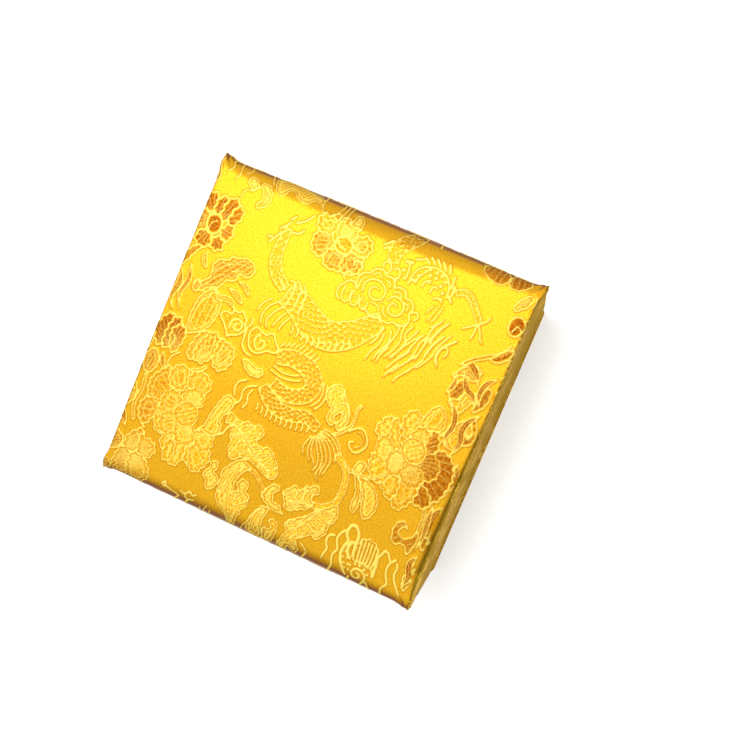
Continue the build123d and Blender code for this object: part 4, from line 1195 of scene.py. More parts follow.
def run_length(place):
    """How far each row lies along its column, from the middle row."""
    gaps = np.linalg.norm(np.diff(place, axis=0), axis=2)
    far = np.vstack([np.zeros(place.shape[1]), np.cumsum(gaps, axis=0)])
    return far - far[place.shape[0] // 2]


ROUND_STEPS = 5
SIDE_PITCH_SHARE = 1.5
SOFT_BACK, SOFT_LENGTH = 15, 50
SOFT_FRONT, SOFT_FADE = -62, 12


def make_lid_cover(shape, pitch):
    """The whole cover of the lid as one sewn mesh: top with its rolls, front and back, and the two ends.
    The right end's upper edge is softer over a stretch towards the front."""
    side_height = shape.top - shape.bottom - shape.middle_roll
    half = np.concatenate([
        steps(0, 1, shape.roll_depth - shape.middle_roll, pitch),
        steps(1, 2, shape.middle_roll * math.pi / 2, pitch),
        steps(2, 3, side_height, pitch * SIDE_PITCH_SHARE),
        [3.0],
    ])
    along = np.concatenate([-half[:0:-1], half])
    facing = np.sign(along) + (along == 0)
    arc = np.linspace(0, math.pi / 2, ROUND_STEPS + 1)
    across = np.concatenate([steps(-1, 1, 2 * shape.end, pitch), [1.0]])
    turns = np.concatenate([-arc[:0:-1], np.zeros(len(across)), arc[1:]])
    across = np.concatenate([-np.ones(ROUND_STEPS), across, np.ones(ROUND_STEPS)])
    kinds, rows = across[None, :], np.abs(along)[:, None]
    y = facing[:, None] * shape.profile(np.abs(kinds) * shape.end / shape.reach, rows)[0]
    for _ in range(2):
        half_width = shape.end_at(y)
        section = shape.profile(np.abs(kinds) * half_width / shape.reach, rows)
        y = facing[:, None] * section[0]
    z, out_y, out_z = section[1], facing[:, None] * section[2], section[3]
    soft = np.clip((SOFT_BACK - y) / SOFT_LENGTH, 0, 1) * np.clip((y - SOFT_FRONT) / SOFT_FADE, 0, 1)
    radius = shape.edge + (shape.soft_edge - shape.edge) * soft * (kinds > 0) * (rows < 1.2)
    turn = turns[None, :]
    x = kinds * (half_width - radius) + radius * np.sin(turn)
    drop = radius * (1 - np.cos(turn))
    place = np.stack([x + 0 * y, y - out_y * drop, z - out_z * drop], axis=2)
    cloth_v = run_length(place[:, [place.shape[1] // 2]])[:, 0]
    cloth = np.stack([
        kinds * (half_width - radius) + radius * turn,
        np.broadcast_to(cloth_v[:, None], x.shape),
    ], axis=2)
    top = grid_mesh("lid_top", place, cloth)
    widest = int(np.argmin(np.abs(half - 2)))
    middle = len(along) // 2
    first, last = middle - widest, middle + widest
    ends = []
    for border, way in ((0, -1), (-1, 1)):
        rim = place[first:last + 1, border]
        post = place[last:, border][::-1]
        reach = rim[:, 1] / rim[-1, 1]
        rise = (post[:, 2] - post[0, 2]) / (post[-1, 2] - post[0, 2])
        wall_y = reach[None, :] * post[:, 1][:, None]
        wall_z = post[0, 2] + rise[:, None] * (rim[:, 2] - post[0, 2])[None, :]
        wall = np.stack([way * shape.end_at(wall_y), wall_y, wall_z], axis=2)
        edge_u = np.abs(cloth[first:last + 1, border, 0])
        down = rim[:, 2][None, :] - wall_z
        lie = np.stack([way * (edge_u[None, :] + down), wall_y], axis=2)
        ends.append(grid_mesh("lid_end", wall, lie, flip=way > 0))
    return joined("lid_cover", [top] + ends)


def draw_ears(piece, shape, reach):
    """Pulls the four upper corners out into small pointed ears, with pleats that run in to them. The
    front ears stand out less than those at the back."""
    wide, deep, down, fade = 7, 9, 22, 14
    pleat_depth, pleats, front_share = 0.22, 16, 0.55
    points = points_of(piece.data)
    facing = read(piece.data.vertices, "normal", 3)
    x, y, z = points.T
    past_x = np.clip((np.abs(x) - shape.end + wide) / wide, 0, 1.1)
    past_y = np.clip((np.abs(y) - shape.ear_depth + deep) / deep, 0, 1.1)
    high = np.clip((z - shape.top + down) / fade, 0, 1)
    pull = (past_x * past_y) ** 2.2 * high
    turn = np.arctan2(shape.ear_depth + 2 - np.abs(y), shape.end + 2 - np.abs(x))
    pleat = pleat_depth * np.sin(pleats * turn) * np.clip(past_x * past_y * 1.6, 0, 1) * high
    away = np.stack([0.5 * np.sign(x), 0.9 * np.sign(y), np.full(len(x), 0.25)], 1)
    share = np.where(y > 0, 1.0, front_share)
    moved = away * (pull * share * reach)[:, None] + facing * (pleat * past_x)[:, None]
    put_points(piece.data, points + moved)


def turned_in(piece, bottom, inner, rise):
    """Folds a cover's open foot inwards under the wall and a little way up inside it. The picture goes on
    over the fold, because each step of it moves along the flat cloth too."""
    near_foot, under = 1.5, 0.15
    form = bmesh.new()
    form.from_mesh(piece.data)
    rim = [e for e in form.edges if e.is_boundary]
    rim = [e for e in rim if max(v.co.z for v in e.verts) < (bottom + near_foot) * MM]
    for vert in {v for e in rim for v in e.verts}:
        vert.co.z = (bottom - under) * MM
    half = [max(abs(v.co[axis]) for e in rim for v in e.verts) for axis in (0, 1)]
    folds = 6
    draw = [(half[axis] - inner[axis] * MM) / folds for axis in (0, 1)]
    lay = [form.verts.layers.float[key] for key in ("cloth_u", "cloth_v")]
    for step in range(folds + 1):
        grown = bmesh.ops.extrude_edge_only(form, edges=rim)["geom"]
        for vert in (g for g in grown if isinstance(g, bmesh.types.BMVert)):
            side = 0 if abs(vert.co.x) * half[1] > abs(vert.co.y) * half[0] else 1
            if step < folds:
                for axis in (0, 1):
                    vert.co[axis] *= 1 - draw[axis] / (half[axis] - draw[axis] * step)
            else:
                vert.co.z += rise * MM
            vert[lay[side]] += math.copysign(draw[side] / MM if step < folds else rise, vert.co[side])
        rim = [g for g in grown if isinstance(g, bmesh.types.BMEdge)]
    bmesh.ops.recalc_face_normals(form, faces=form.faces)
    form.to_mesh(piece.data)
    form.free()


def band(name, half_width, half_depth, corner, section, pitch, inside=False):
    """Cloth wrapped round a rectangle: each point of the section is (inset from the outside, height)."""
    outline = []
    for turn, (sx, sy) in enumerate(((1, -1), (1, 1), (-1, 1), (-1, -1))):
        middle = (sx * (half_width - corner), sy * (half_depth - corner))
        for angle in np.radians(np.linspace(90 * turn - 90, 90 * turn, 7)):
            outline.append((*middle, math.cos(angle), math.sin(angle)))
    outline = np.array(outline + outline[:1])
    dense = [outline[0]]
    for before, after in zip(outline[:-1], outline[1:]):
        gap = np.hypot(*(after[:2] + corner * after[2:] - before[:2] - corner * before[2:]))
        count = max(1, round(gap / pitch))
        for index in range(1, count + 1):
            dense.append(before + (after - before) * index / count)
    dense = np.array(dense)
    section = np.array(section, float)
    inset, height = section[:, 0][:, None], section[:, 1][:, None]
    least = 0.15
    radius = np.maximum(corner - inset, least)
    shrink = np.maximum(inset - (corner - least), 0)
    x = dense[:, 0] * (1 - shrink / (half_width - corner)) + radius * dense[:, 2]
    y = dense[:, 1] * (1 - shrink / (half_depth - corner)) + radius * dense[:, 3]
    place = np.stack([x, y, np.broadcast_to(height, x.shape)], axis=2)
    walk, rise = lengths(place[0, :, :2]), lengths(section)
    lie = np.broadcast_arrays(walk[None, :] - walk[-1] / 2, rise[:, None] - rise[-1] / 2)
    cloth = np.stack(lie, axis=2)
    mesh = grid_mesh(name, place, cloth, closed=True, flip=inside)
    return joined(name, [mesh])


def strip(name, left, right, section, pitch, flip=False):
    """A straight strip of cloth along X: each point of the section is (y, z)."""
    across = np.linspace(left, right, int((right - left) / pitch) + 1)
    section = np.array(section, float)
    walk = lengths(section)
    shape = (len(section), len(across))
    place = np.stack([
        np.broadcast_to(across, shape),
        np.broadcast_to(section[:, :1], shape),
        np.broadcast_to(section[:, 1:], shape),
    ], axis=2)
    cloth = np.stack([place[:, :, 0], np.broadcast_to(walk[:, None], shape)], axis=2)
    return joined(name, [grid_mesh(name, place, cloth, flip=flip)])


def pad_cushion(name, half_width, half_depth, seat, edge, crown, way):
    """A wadded panel under satin. It is blown up by cloth simulation from a slightly smaller slab, then
    pressed flat where it is glued down."""
    inset, voxel, frames = 1.2, 2.4, 20
    form = bmesh.new()
    bmesh.ops.create_cube(form, size=1)
    start_height = edge * 0.9
    for vert in form.verts:
        vert.co.x *= 2 * (half_width - inset) * MM
        vert.co.y *= 2 * (half_depth - inset) * MM
        vert.co.z = (seat + way * start_height * (vert.co.z + 0.5)) * MM
    bmesh.ops.recalc_face_normals(form, faces=form.faces)
    bmesh.ops.bevel(
        form, geom=form.edges, offset=inset * MM, offset_type="OFFSET", segments=2, profile=0.5,
        affect="EDGES", material=-1,
    )
    piece = add_piece(name, mesh_from(name, form))
    remesh = piece.modifiers.new("voxels", "REMESH")
    remesh.mode = "VOXEL"
    remesh.voxel_size = voxel * MM
    apply_modifiers(piece)
    start = points_of(piece.data)
    cloth = piece.modifiers.new("wadding", "CLOTH")
    cloth.settings.use_pressure = True
    cloth.settings.uniform_pressure_force = 4
    cloth.settings.effector_weights.gravity = 0
    cloth.settings.quality = 5
    cloth.settings.mass = 0.15
    cloth.settings.tension_stiffness = 15
    cloth.settings.shear_stiffness = 10
    cloth.settings.bending_stiffness = 0.4
    for number in range(1, frames + 1):
        bpy.context.scene.frame_set(number)
    apply_modifiers(piece)
    bpy.context.scene.frame_set(1)
    points = points_of(piece.data)
    moved = points - start
    far = np.linalg.norm(moved, axis=1)
    cap, limit, spare = crown * 1.1, edge + crown, 0.3
    points = start + moved * np.minimum(1, cap / np.maximum(far, TINY))[:, None]
    points[:, 0] = np.clip(points[:, 0], -half_width, half_width)
    points[:, 1] = np.clip(points[:, 1], -half_depth, half_depth)
    above = np.clip(way * (points[:, 2] - seat), 0, None)
    above = np.where(above > limit, limit + (above - limit) * 0.1, above)
    points[:, 2] = seat + way * np.minimum(above, limit + spare)
    put_points(piece.data, points)
    finer = piece.modifiers.new("finer", "SUBSURF")
    finer.levels = finer.render_levels = 1
    apply_modifiers(piece)
    smooth(piece.data)
    return piece


def apply_modifiers(piece):
    """Makes a piece's modifiers part of its mesh."""
    view = bpy.context.evaluated_depsgraph_get()
    mesh = bpy.data.meshes.new_from_object(piece.evaluated_get(view))
    mesh.name = piece.name
    piece.modifiers.clear()
    piece.data = mesh


def add_node(tree, kind, inputs=(), **settings):
    """Adds a node with its settings, and its inputs as values or links."""
    node = tree.nodes.new(kind)
    for key, value in settings.items():
        setattr(node, key, value)
    for key, value in dict(inputs).items():
        if isinstance(value, bpy.types.NodeSocket):
            tree.links.new(value, node.inputs[key])
        else:
            node.inputs[key].default_value = value
    return node


def new_material(name):
    """An empty node material with its output."""
    material = bpy.data.materials.new(name)
    material.use_nodes = True
    tree = material.node_tree
    tree.nodes.clear()
    return material, tree, tree.nodes.new("ShaderNodeOutputMaterial")


def stored(tree, name):
    """A number that a mesh stores for each of its points."""
    return add_node(tree, "ShaderNodeAttribute", attribute_name=name).outputs["Fac"]


def ranged(tree, value, low, high, to_low=0.0, to_high=1.0):
    """A number carried from one range to another, and kept inside it."""
    inputs = {"Value": value, "From Min": low, "From Max": high, "To Min": to_low, "To Max": to_high}
    return add_node(tree, "ShaderNodeMapRange", inputs).outputs["Result"]


def noise(tree, place, scale, detail=2.0, roughness=0.6):
    """Cloudy noise of a scale."""
    inputs = {"Vector": place, "Scale": scale, "Detail": detail, "Roughness": roughness}
    return add_node(tree, "ShaderNodeTexNoise", inputs).outputs["Fac"]


def stretched(tree, place, scale):
    """A place scaled by its axes, which draws noise out into fibres."""
    return add_node(tree, "ShaderNodeMapping", {"Vector": place, "Scale": scale}).outputs["Vector"]


def mask(tree, key, low, high, jitter=None):
    """How far a woven field lies between two values, from 0 to 1. Jitter roughens its edge."""
    value = stored(tree, "weave_" + key)
    if jitter is not None:
        value = maths(tree, "MULTIPLY_ADD", jitter, 0.34, maths(tree, "SUBTRACT", value, 0.17))
    return ranged(tree, value, low, high)


def mixed(tree, factor, first, second, blend="MIX"):
    """Two colours mixed by a factor."""
    inputs = {0: factor, 6: first, 7: second}
    return add_node(tree, "ShaderNodeMix", inputs, data_type="RGBA", blend_type=blend).outputs[2]


def maths(tree, how, first, second=0.0, third=0.0):
    """One sum on numbers."""
    return add_node(tree, "ShaderNodeMath", {0: first, 1: second, 2: third}, operation=how).outputs[0]


def rgba(colour_property, share=1.0):
    """A colour property, or a share of it, as a socket takes it."""
    return (*[part * share for part in colour_property], 1.0)


def bumped(tree, height, strength, depth):
    """A surface direction disturbed by a height. The depth is in millimetres."""
    inputs = {"Height": height, "Strength": strength, "Distance": depth * MM}
    return add_node(tree, "ShaderNodeBump", inputs).outputs["Normal"]


DEEP_GROUND_SHARES = (0.9, 0.62, 0.28)


def brocade_material(look):
    """Silk and rayon brocade: a warp satin ground that shines across its threads, with weft floats lying the
    other way.
    Painted shade darkens the ground where the cloth turns over a roll, on the upright front and back and on
    the ends, while the floats there stay paler; a painted shadow lies on the ground beside the floats."""
    material, tree, out = new_material("woven_brocade")
    place = {"X": stored(tree, "cloth_u"), "Y": stored(tree, "cloth_v"), "Z": 0.0}
    lie = add_node(tree, "ShaderNodeCombineXYZ", place).outputs["Vector"]
    shade = stored(tree, "weave_shade")
    threads = MM / look.spacing
    warp_grain = noise(tree, stretched(tree, lie, (threads, threads * 0.16, 1)), 1.0)
    weft_grain = noise(tree, stretched(tree, lie, (threads * 0.25, threads, 1)), 1.0)
    line = mask(tree, "line", -0.08, 0.1, weft_grain)
    petal = mask(tree, "petal", -0.12, 0.12, warp_grain)
    rib = mask(tree, "rib", -0.12, 0.12, weft_grain)
    # Painted shadow: the ground just beside the floats is darkened, for the shade that the raised floats
    # cast.
    painted_float_shadow = maths(tree, "MULTIPLY", mask(tree, "line", -0.6, -0.15), 0.7)
    # Where painted shade goes: over the rolls, on the upright front and back, and on the ends.
    painted_roll_shade = mask(tree, "lean", 0.015, 0.3)
    steep = mask(tree, "lean", 0.62, 0.95)
    sideways = mask(tree, "end", 0.5, 0.95)
    # Painted shade colour by slope: dark over the rolls, a darker gold on the upright walls.
    painted_slope_shade = mixed(tree, steep, rgba(look.painted_roll_shade), rgba(look.wall))
    speckle = ranged(tree, noise(tree, lie, 1.8), 0.34, 0.66)
    fleck = ranged(tree, noise(tree, lie, 2.3, 1.0, 0.5), 0.54, 0.74, 0.0, 0.4)
    ground_deep = [part * share for part, share in zip(look.ground, DEEP_GROUND_SHARES)]
    ground = mixed(tree, speckle, rgba(ground_deep), rgba(look.ground))
    ground = mixed(tree, fleck, ground, rgba(look.float_thread))
    # Painted shade on the ground over the rolls, walls and ends, then the painted shadow beside the floats.
    ground = mixed(tree, painted_roll_shade, ground, painted_slope_shade)
    ground = mixed(tree, sideways, ground, rgba(look.end))
    ground = mixed(tree, painted_float_shadow, ground, rgba(look.painted_float_shadow), "MULTIPLY")
    net = ranged(tree, noise(tree, lie, 1.05), 0.42, 0.58, 0.0, 0.8)
    light_filling = mixed(tree, net, rgba(look.deep_petal), rgba(look.petal))
    net = maths(tree, "MULTIPLY", net, 0.6)
    # Fillings with a shade are darkened towards brown: painted shade.
    painted_shade_filling = mixed(tree, net, rgba(look.painted_shade_petal), rgba(look.deep_petal))
    filling = mixed(tree, shade, light_filling, painted_shade_filling)
    # Painted shade on the fillings over the rolls and on the ends.
    filling = mixed(tree, maths(tree, "MULTIPLY", painted_roll_shade, 0.5), filling, painted_slope_shade)
    filling = mixed(tree, maths(tree, "MULTIPLY", sideways, 0.8), filling, rgba(look.end))
    # Ribs show less in fillings darkened by painted shade.
    seen = maths(tree, "MULTIPLY", rib, maths(tree, "MULTIPLY_ADD", shade, -0.4, 0.75))
    cloth = mixed(tree, petal, ground, mixed(tree, seen, filling, rgba(look.float_thread)))
    # Floats take a lighter painted shade over the rolls and on the ends.
    floats = mixed(tree, painted_roll_shade, rgba(look.float_thread), rgba(look.painted_roll_shade_float))
    floats = mixed(tree, sideways, floats, rgba(look.painted_end_shade_float))
    cloth = mixed(tree, line, cloth, floats)
    pale = maths(tree, "MAXIMUM", line, petal)
    grain = {0: pale, 2: warp_grain, 3: weft_grain}
    grain = add_node(tree, "ShaderNodeMix", grain, data_type="FLOAT").outputs[0]
    cloth = mixed(tree, 0.5, cloth, ranged(tree, grain, 0.25, 0.75, 0.72, 1.18), "MULTIPLY")
    along_weft = add_node(tree, "ShaderNodeTangent", direction_type="UV_MAP", uv_map="cloth").outputs[0]
    normal = add_node(tree, "ShaderNodeNewGeometry").outputs["Normal"]
    along_warp = add_node(
        tree, "ShaderNodeVectorMath", {0: normal, 1: along_weft}, operation="CROSS_PRODUCT"
    ).outputs["Vector"]
    lay = {0: pale, 4: along_weft, 5: along_warp}
    lay = add_node(tree, "ShaderNodeMix", lay, data_type="VECTOR").outputs[1]
    upright = maths(tree, "MAXIMUM", sideways, steep)
    shader = add_node(tree, "ShaderNodeBsdfPrincipled", {
        "Base Color": cloth,
        "Metallic": maths(tree, "MULTIPLY_ADD", upright, 0.55, 0.33),
        "Roughness": maths(tree, "MULTIPLY_ADD", pale, 0.08, 0.36),
        "Specular IOR Level": 0.2,
        "Specular Tint": rgba(look.glance),
        "Normal": bumped(tree, grain, 0.6, 0.08),
        "Tangent": lay,
        "Anisotropic": 0.7,
    })
    tree.links.new(shader.outputs["BSDF"], out.inputs["Surface"])
    return material


def satin_material(look):
    """Polyester lining satin: a smooth float surface with a soft sheen and very fine threads."""
    material, tree, out = new_material("lining_satin")
    place = add_node(tree, "ShaderNodeTexCoord").outputs["Object"]
    grain = noise(tree, stretched(tree, place, (400, 2600, 2600)), 1.0, roughness=0.5)
    tone = mixed(tree, noise(tree, place, 60.0, roughness=0.5), rgba(look.lining, 0.86), rgba(look.lining))
    tone = mixed(tree, maths(tree, "MULTIPLY", grain, 0.3), tone, rgba(look.lining, 0.6))
    shader = add_node(tree, "ShaderNodeBsdfPrincipled", {
        "Base Color": tone, "Roughness": 0.36, "Metallic": 0.25, "Normal": bumped(tree, grain, 0.2, 0.05),
        "Sheen Weight": 0.15, "Sheen Roughness": 0.4,
    })
    tree.links.new(shader.outputs["BSDF"], out.inputs["Surface"])
    return material


def board_material(name, tone, flecks):
    """Recycled board or paper: matt, with flecks of fibre."""
    material, tree, out = new_material(name)
    place = add_node(tree, "ShaderNodeTexCoord").outputs["Object"]
    fibre = noise(tree, place, 1400.0, 4.0, 0.7)
    shader = add_node(tree, "ShaderNodeBsdfPrincipled", {
        "Base Color": mixed(tree, fibre, rgba(tone, flecks), rgba(tone)), "Roughness": 0.85,
        "Normal": bumped(tree, fibre, 0.3, 0.05),
    })
    tree.links.new(shader.outputs["BSDF"], out.inputs["Surface"])
    return material


def dress(piece, look):
    """Gives a piece one of the materials."""
    piece.data.materials.clear()
    piece.data.materials.append(material(look))


def dress_in_brocade(piece, shift=(0.0, 0.0), relief=0.0):
    """Puts the picture and the brocade on a piece. A second copy of the flat layout tells the brocade's
    shine which way its threads lie."""
    mesh = piece.data
    layout = read(mesh.uv_layers["OFBake"].data, "uv", 2).astype(np.float32).ravel()
    mesh.uv_layers.new(name="cloth").data.foreach_set("uv", layout)
    weave(piece, picture(), shift, relief)
    dress(piece, "brocade")


LINING_INSET = 0.2
made = {}


def picture():
    """The woven picture, drawn once."""
    if "loom" not in made:
        loom = Loom(CLOTH_HALF, CLOTH_PITCH, WEIGHT)
        draw_picture(loom)
        made["loom"] = loom
    return made["loom"]


def material(name):
    """One of the part's materials, made once."""
    scene = bpy.context.scene
    if name not in made:
        makers = {
            "brocade": lambda: brocade_material(scene.brocade_weave),
            "satin": lambda: satin_material(scene.brocade_satin),
            "card": lambda: board_material("grey_board", scene.brocade_satin.card, 0.75),
            "paper": lambda: board_material("backing_paper", scene.brocade_satin.paper, 0.88),
        }
        made[name] = makers[name]()
    return made[name]


class BROCADE_OT_lid_cover(bpy.types.Operator):
    """Makes the padded, patterned cover of the lid"""

    bl_idname = "brocade.lid_cover"
    bl_label = "Lid Cover"

    def execute(self, context):
        form = context.scene.brocade_lid
        shape = LidShape(form)
        cover = make_lid_cover(shape, form.pitch / MM)
        draw_ears(cover, shape, form.ear_point / MM)
        tuck = 1.2
        turned_in(cover, shape.bottom, node_box("lid_wall_lining")[1][:2], tuck)
        dress_in_brocade(cover, relief=context.scene.brocade_weave.relief / MM)
        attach(cover, "lid")
        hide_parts("lid_brocade", "lid_foam_top", "lid_foam_front", "lid_foam_back")
        return {"FINISHED"}


class BROCADE_OT_base_wrap(bpy.types.Operator):
    """Makes the brocade wrapped round the base board"""

    bl_idname = "brocade.base_wrap"
    bl_label = "Base Wrap"

    def execute(self, context):
        low, high = node_box("base_cloth")
        edge, turns = 0.5, np.radians((0, 30, 60, 90))
        over = [(edge - edge * math.sin(a), high[2] - edge + edge * math.cos(a)) for a in turns[::-1]]
        under = [(edge - edge * math.sin(a), low[2] + edge - edge * math.cos(a)) for a in turns]
        side = [(0.0, h) for h in np.linspace(low[2] + edge, high[2] - edge, 6)[1:-1]]
        section = [(6.0, low[2])] + under + side + over + [(inset, high[2]) for inset in (3.0, 6.0, 9.5)]
        wrap = band("base_wrap", high[0], high[1], 1.5, section, 0.9)
        dress_in_brocade(wrap, (8.0, -40.0))
        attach(wrap, "base")
        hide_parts("base_cloth")
        return {"FINISHED"}


class BROCADE_OT_lid_lining(bpy.types.Operator):
    """Makes the satin that lines the lid's walls"""

    bl_idname = "brocade.lid_lining"
    bl_label = "Lid Lining"

    def execute(self, context):
        low, high = node_box("lid_wall_lining")
        section = [(LINING_INSET, h) for h in np.linspace(low[2] + 0.3, high[2] - 0.1, 12)]
        lining = band("lid_lining", high[0], high[1], 1.2, section, 3.0, inside=True)
        dress(lining, "satin")
        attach(lining, "lid")
        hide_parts("lid_wall_lining")
        return {"FINISHED"}


class BROCADE_OT_pads(bpy.types.Operator):
    """Makes the padded satin panels in the lid and on the tray's floor"""

    bl_idname = "brocade.pads"
    bl_label = "Padded Panels"

    def execute(self, context):
        for name, body, edge, crown, way in (
            ("floor_pad", "base", 5.4, 3.0, 1), ("lid_pad", "lid", 4.4, 2.5, -1),
        ):
            low, high = node_box(name + "_satin")
            seat = low[2] if way > 0 else high[2]
            pad = pad_cushion(name, high[0], high[1], seat, edge, crown, way)
            dress(pad, "satin")
            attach(pad, body)
            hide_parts(name + "_satin", name + "_foam")
        return {"FINISHED"}


class BROCADE_OT_tray(bpy.types.Operator):
    """Makes the brocade over the tray's walls and the satin inside them"""

    bl_idname = "brocade.tray"
    bl_label = "Tray Cover and Lining"

    def execute(self, context):
        low, high = node_box("tray_cover")
        lining_low, lining_high = node_box("tray_lining")
        over, rim_rise, foot_gap = high[0] - lining_high[0] + 0.35, 0.5, 0.05
        rim_foot = high[2] - rim_rise
        section = [(0.0, h) for h in np.linspace(low[2] + foot_gap, rim_foot, 34)[:-1]]
        for a in np.radians(range(0, 181, 20)):
            section.append((over / 2 - over / 2 * math.cos(a), rim_foot + rim_rise * math.sin(a)))
        section += [(over, high[2] - 1.0 - 0.6 * i) for i in range(4)]
        cover = band("tray_cover_cloth", high[0], high[1], 1.0, section, 0.65)
        dress_in_brocade(cover, (0.0, -40.0))
        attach(cover, "base")
        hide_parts("tray_cover")
        top = high[2] - 2.6
        section = [(LINING_INSET, h) for h in np.linspace(lining_low[2] + foot_gap, top, 8)]
        lining = band("tray_lining_cloth", lining_high[0], lining_high[1], 1.0, section, 3.0, inside=True)
        dress(lining, "satin")
        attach(lining, "base")
        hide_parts("tray_lining")
        return {"FINISHED"}


class BROCADE_OT_hinge(bpy.types.Operator):
    """Makes the cloth hinge: brocade outside, satin inside"""

    bl_idname = "brocade.hinge"
    bl_label = "Cloth Hinge"

    def execute(self, context):
        low, high = node_box("hinge_cloth")
        foot = node_box("lid_wall_back")[1][1]
        behind = node_box("lid_wall_lining")[1][1] - 0.1
        under_lid = node_box("lid_brocade")[0][2] - 0.06
        face = high[1] - 0.05
        outside = [(face, h) for h in np.linspace(low[2] + 0.05, high[2] - 0.1, 6)]
        outside += [(high[1] - 0.25, high[2] + 0.08), (high[1] - 0.6, high[2] + 0.16)]
        outside.append((foot + 0.4, under_lid))
        outside += [(y, under_lid + 0.02) for y in np.linspace(foot - 0.8, behind + 0.2, 3)]
        outside += [(behind, under_lid + 0.26 + 1.2 * i) for i in range(5)]
        cloth = strip("hinge_cloth_strip", low[0], high[0], outside, 1.0)
        dress_in_brocade(cloth, (0.0, 96.0))
        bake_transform(cloth, "base", "lid", start=(0, face * MM, (high[2] - 0.2) * MM),
                 end=(0, (foot + 0.4) * MM, under_lid * MM))
        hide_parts("hinge_cloth")
        low, high = node_box("hinge_lining")
        face, floor, rise = high[1] - 0.1, low[2] + 0.12, low[2] + 1.2
        inside = [(y, floor) for y in np.linspace(low[1], high[1] - 0.6, 6)]
        inside += [(high[1] - 0.3, low[2] + 0.25), (face, low[2] + 0.6)]
        inside += [(face, h) for h in np.linspace(rise, low[2] + 9.2, 7)]
        lining = strip("hinge_lining_strip", low[0], high[0], inside, 2.0, flip=True)
        dress(lining, "satin")
        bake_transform(lining, "base", "lid", start=(0, (high[1] - 0.6) * MM, floor * MM),
                 end=(0, face * MM, rise * MM))
        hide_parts("hinge_lining")
        return {"FINISHED"}


WHITE = (1.0, 1.0, 1.0)
LAMP_AIM = (0, 0, 0.05)
SENSOR = 36
CAMERA_PLACE = (0.09324, 0.0433, 0.44601)
CAMERA_TURN = (-1.344, 10.296, 23.222)
CAMERA_SHIFT = (-0.029, 0.0307)


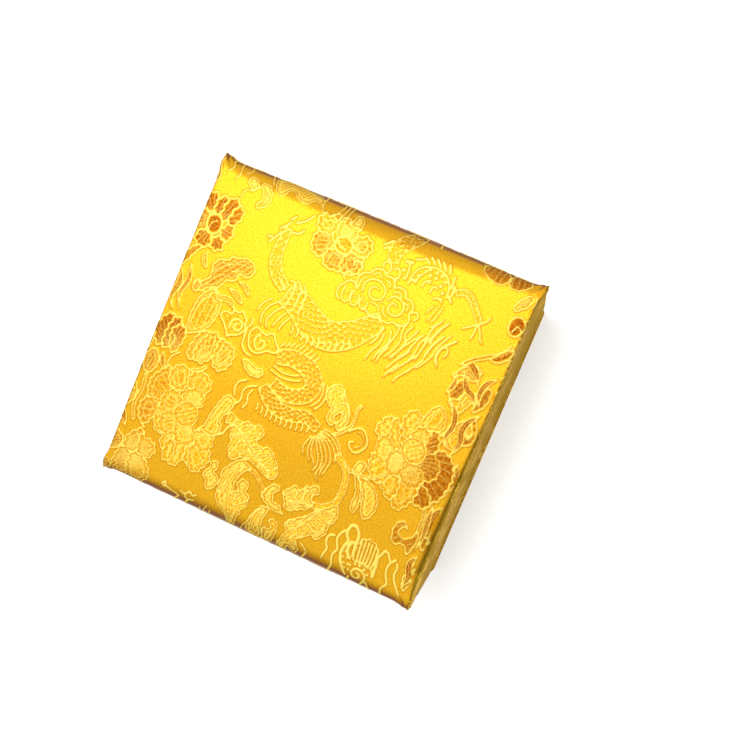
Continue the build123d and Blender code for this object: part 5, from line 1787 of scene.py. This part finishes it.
class BROCADE_OT_stage(bpy.types.Operator):
    """Makes the floor, the lamps, the surroundings and the camera"""

    bl_idname = "brocade.stage"
    bl_label = "Stage"

    def execute(self, context):
        look = context.scene.brocade_stage
        form = bmesh.new()
        bmesh.ops.create_grid(form, x_segments=1, y_segments=1, size=4)
        floor = add_piece("floor", mesh_from("floor", form))
        floor.location.z = -0.05 * MM
        pale_floor, tree, out = new_material("pale_floor")
        ray = add_node(tree, "ShaderNodeLightPath").outputs
        seen = maths(tree, "MAXIMUM", ray["Is Camera Ray"], ray["Is Glossy Ray"])
        seen = maths(tree, "MAXIMUM", seen, ray["Is Transmission Ray"])
        white = add_node(tree, "ShaderNodeEmission", {"Color": rgba(WHITE), "Strength": 0.45})
        matt = add_node(tree, "ShaderNodeBsdfDiffuse", {"Color": rgba(look.floor)})
        both = add_node(tree, "ShaderNodeAddShader", {0: matt.outputs[0], 1: white.outputs[0]})
        dull = add_node(tree, "ShaderNodeBsdfDiffuse", {"Color": rgba(WHITE, 0.4)})
        whole = add_node(tree, "ShaderNodeMixShader", {0: seen, 1: dull.outputs[0], 2: both.outputs[0]})
        tree.links.new(whole.outputs[0], out.inputs["Surface"])
        floor.data.materials.append(pale_floor)
        world = bpy.data.worlds.new("surroundings")
        context.scene.world = world
        world.use_nodes = True
        tree = world.node_tree
        tree.nodes.clear()
        ray = add_node(tree, "ShaderNodeLightPath").outputs
        seen = maths(tree, "MAXIMUM", ray["Is Camera Ray"], ray["Is Transmission Ray"])
        dim = add_node(tree, "ShaderNodeBackground", {"Color": rgba(WHITE), "Strength": look.fill})
        white = add_node(tree, "ShaderNodeBackground", {"Color": rgba(WHITE), "Strength": 1.0})
        whole = add_node(tree, "ShaderNodeMixShader", {0: seen, 1: dim.outputs[0], 2: white.outputs[0]})
        sky = tree.nodes.new("ShaderNodeOutputWorld")
        tree.links.new(whole.outputs[0], sky.inputs["Surface"])
        lamp = bpy.data.lights.new("overhead_lamp", "AREA")
        lamp.shape = "SQUARE"
        lamp.size = look.lamp_size
        lamp.energy = look.lamp_power
        overhead = add_piece("overhead_lamp", lamp)
        overhead.location = look.lamp_place
        aim = Vector(LAMP_AIM) - overhead.location
        overhead.rotation_euler = aim.to_track_quat("-Z", "Y").to_euler()
        view = bpy.data.cameras.new("camera")
        view.sensor_width = SENSOR
        view.lens = look.lens
        view.shift_x, view.shift_y = CAMERA_SHIFT
        view.clip_start = 0.01
        camera = add_piece("camera", view)
        camera.location = CAMERA_PLACE
        camera.rotation_euler = [math.radians(angle) for angle in CAMERA_TURN]
        context.scene.camera = camera
        context.scene.view_settings.view_transform = "Standard"
        return {"FINISHED"}


class BROCADE_PT_panel(bpy.types.Panel):
    """Lists the steps that dress the box"""

    bl_label = "Brocade Box"
    bl_space_type = "VIEW_3D"
    bl_region_type = "UI"
    bl_category = "Brocade Box"

    def draw(self, context):
        for step in STEPS:
            self.layout.operator(step.bl_idname)


GROUPS = {
    "brocade_lid": LidForm,
    "brocade_weave": WeaveLook,
    "brocade_satin": SatinLook,
    "brocade_stage": StageLook,
}
STEPS = [
    BROCADE_OT_stage,
    BROCADE_OT_lid_cover,
    BROCADE_OT_base_wrap,
    BROCADE_OT_lid_lining,
    BROCADE_OT_tray,
    BROCADE_OT_pads,
    BROCADE_OT_hinge,
]


def register():
    for kind in [*GROUPS.values(), *STEPS, BROCADE_PT_panel]:
        bpy.utils.register_class(kind)
    for key, kind in GROUPS.items():
        setattr(bpy.types.Scene, key, PointerProperty(type=kind))


def unregister():
    for key in GROUPS:
        delattr(bpy.types.Scene, key)
    for kind in [BROCADE_PT_panel, *reversed(STEPS), *reversed(GROUPS.values())]:
        bpy.utils.unregister_class(kind)


def main():
    register()
    for name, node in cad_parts.items():
        for keyword, look in (("paper", "paper"), ("board", "card"), ("wall", "card")):
            if keyword in name:
                node.data.materials.clear()
                node.data.materials.append(material(look))
                break
    for step in STEPS:
        family, action = step.bl_idname.split(".")
        getattr(getattr(bpy.ops, family), action)()


if __name__ == "__main__":
    main()
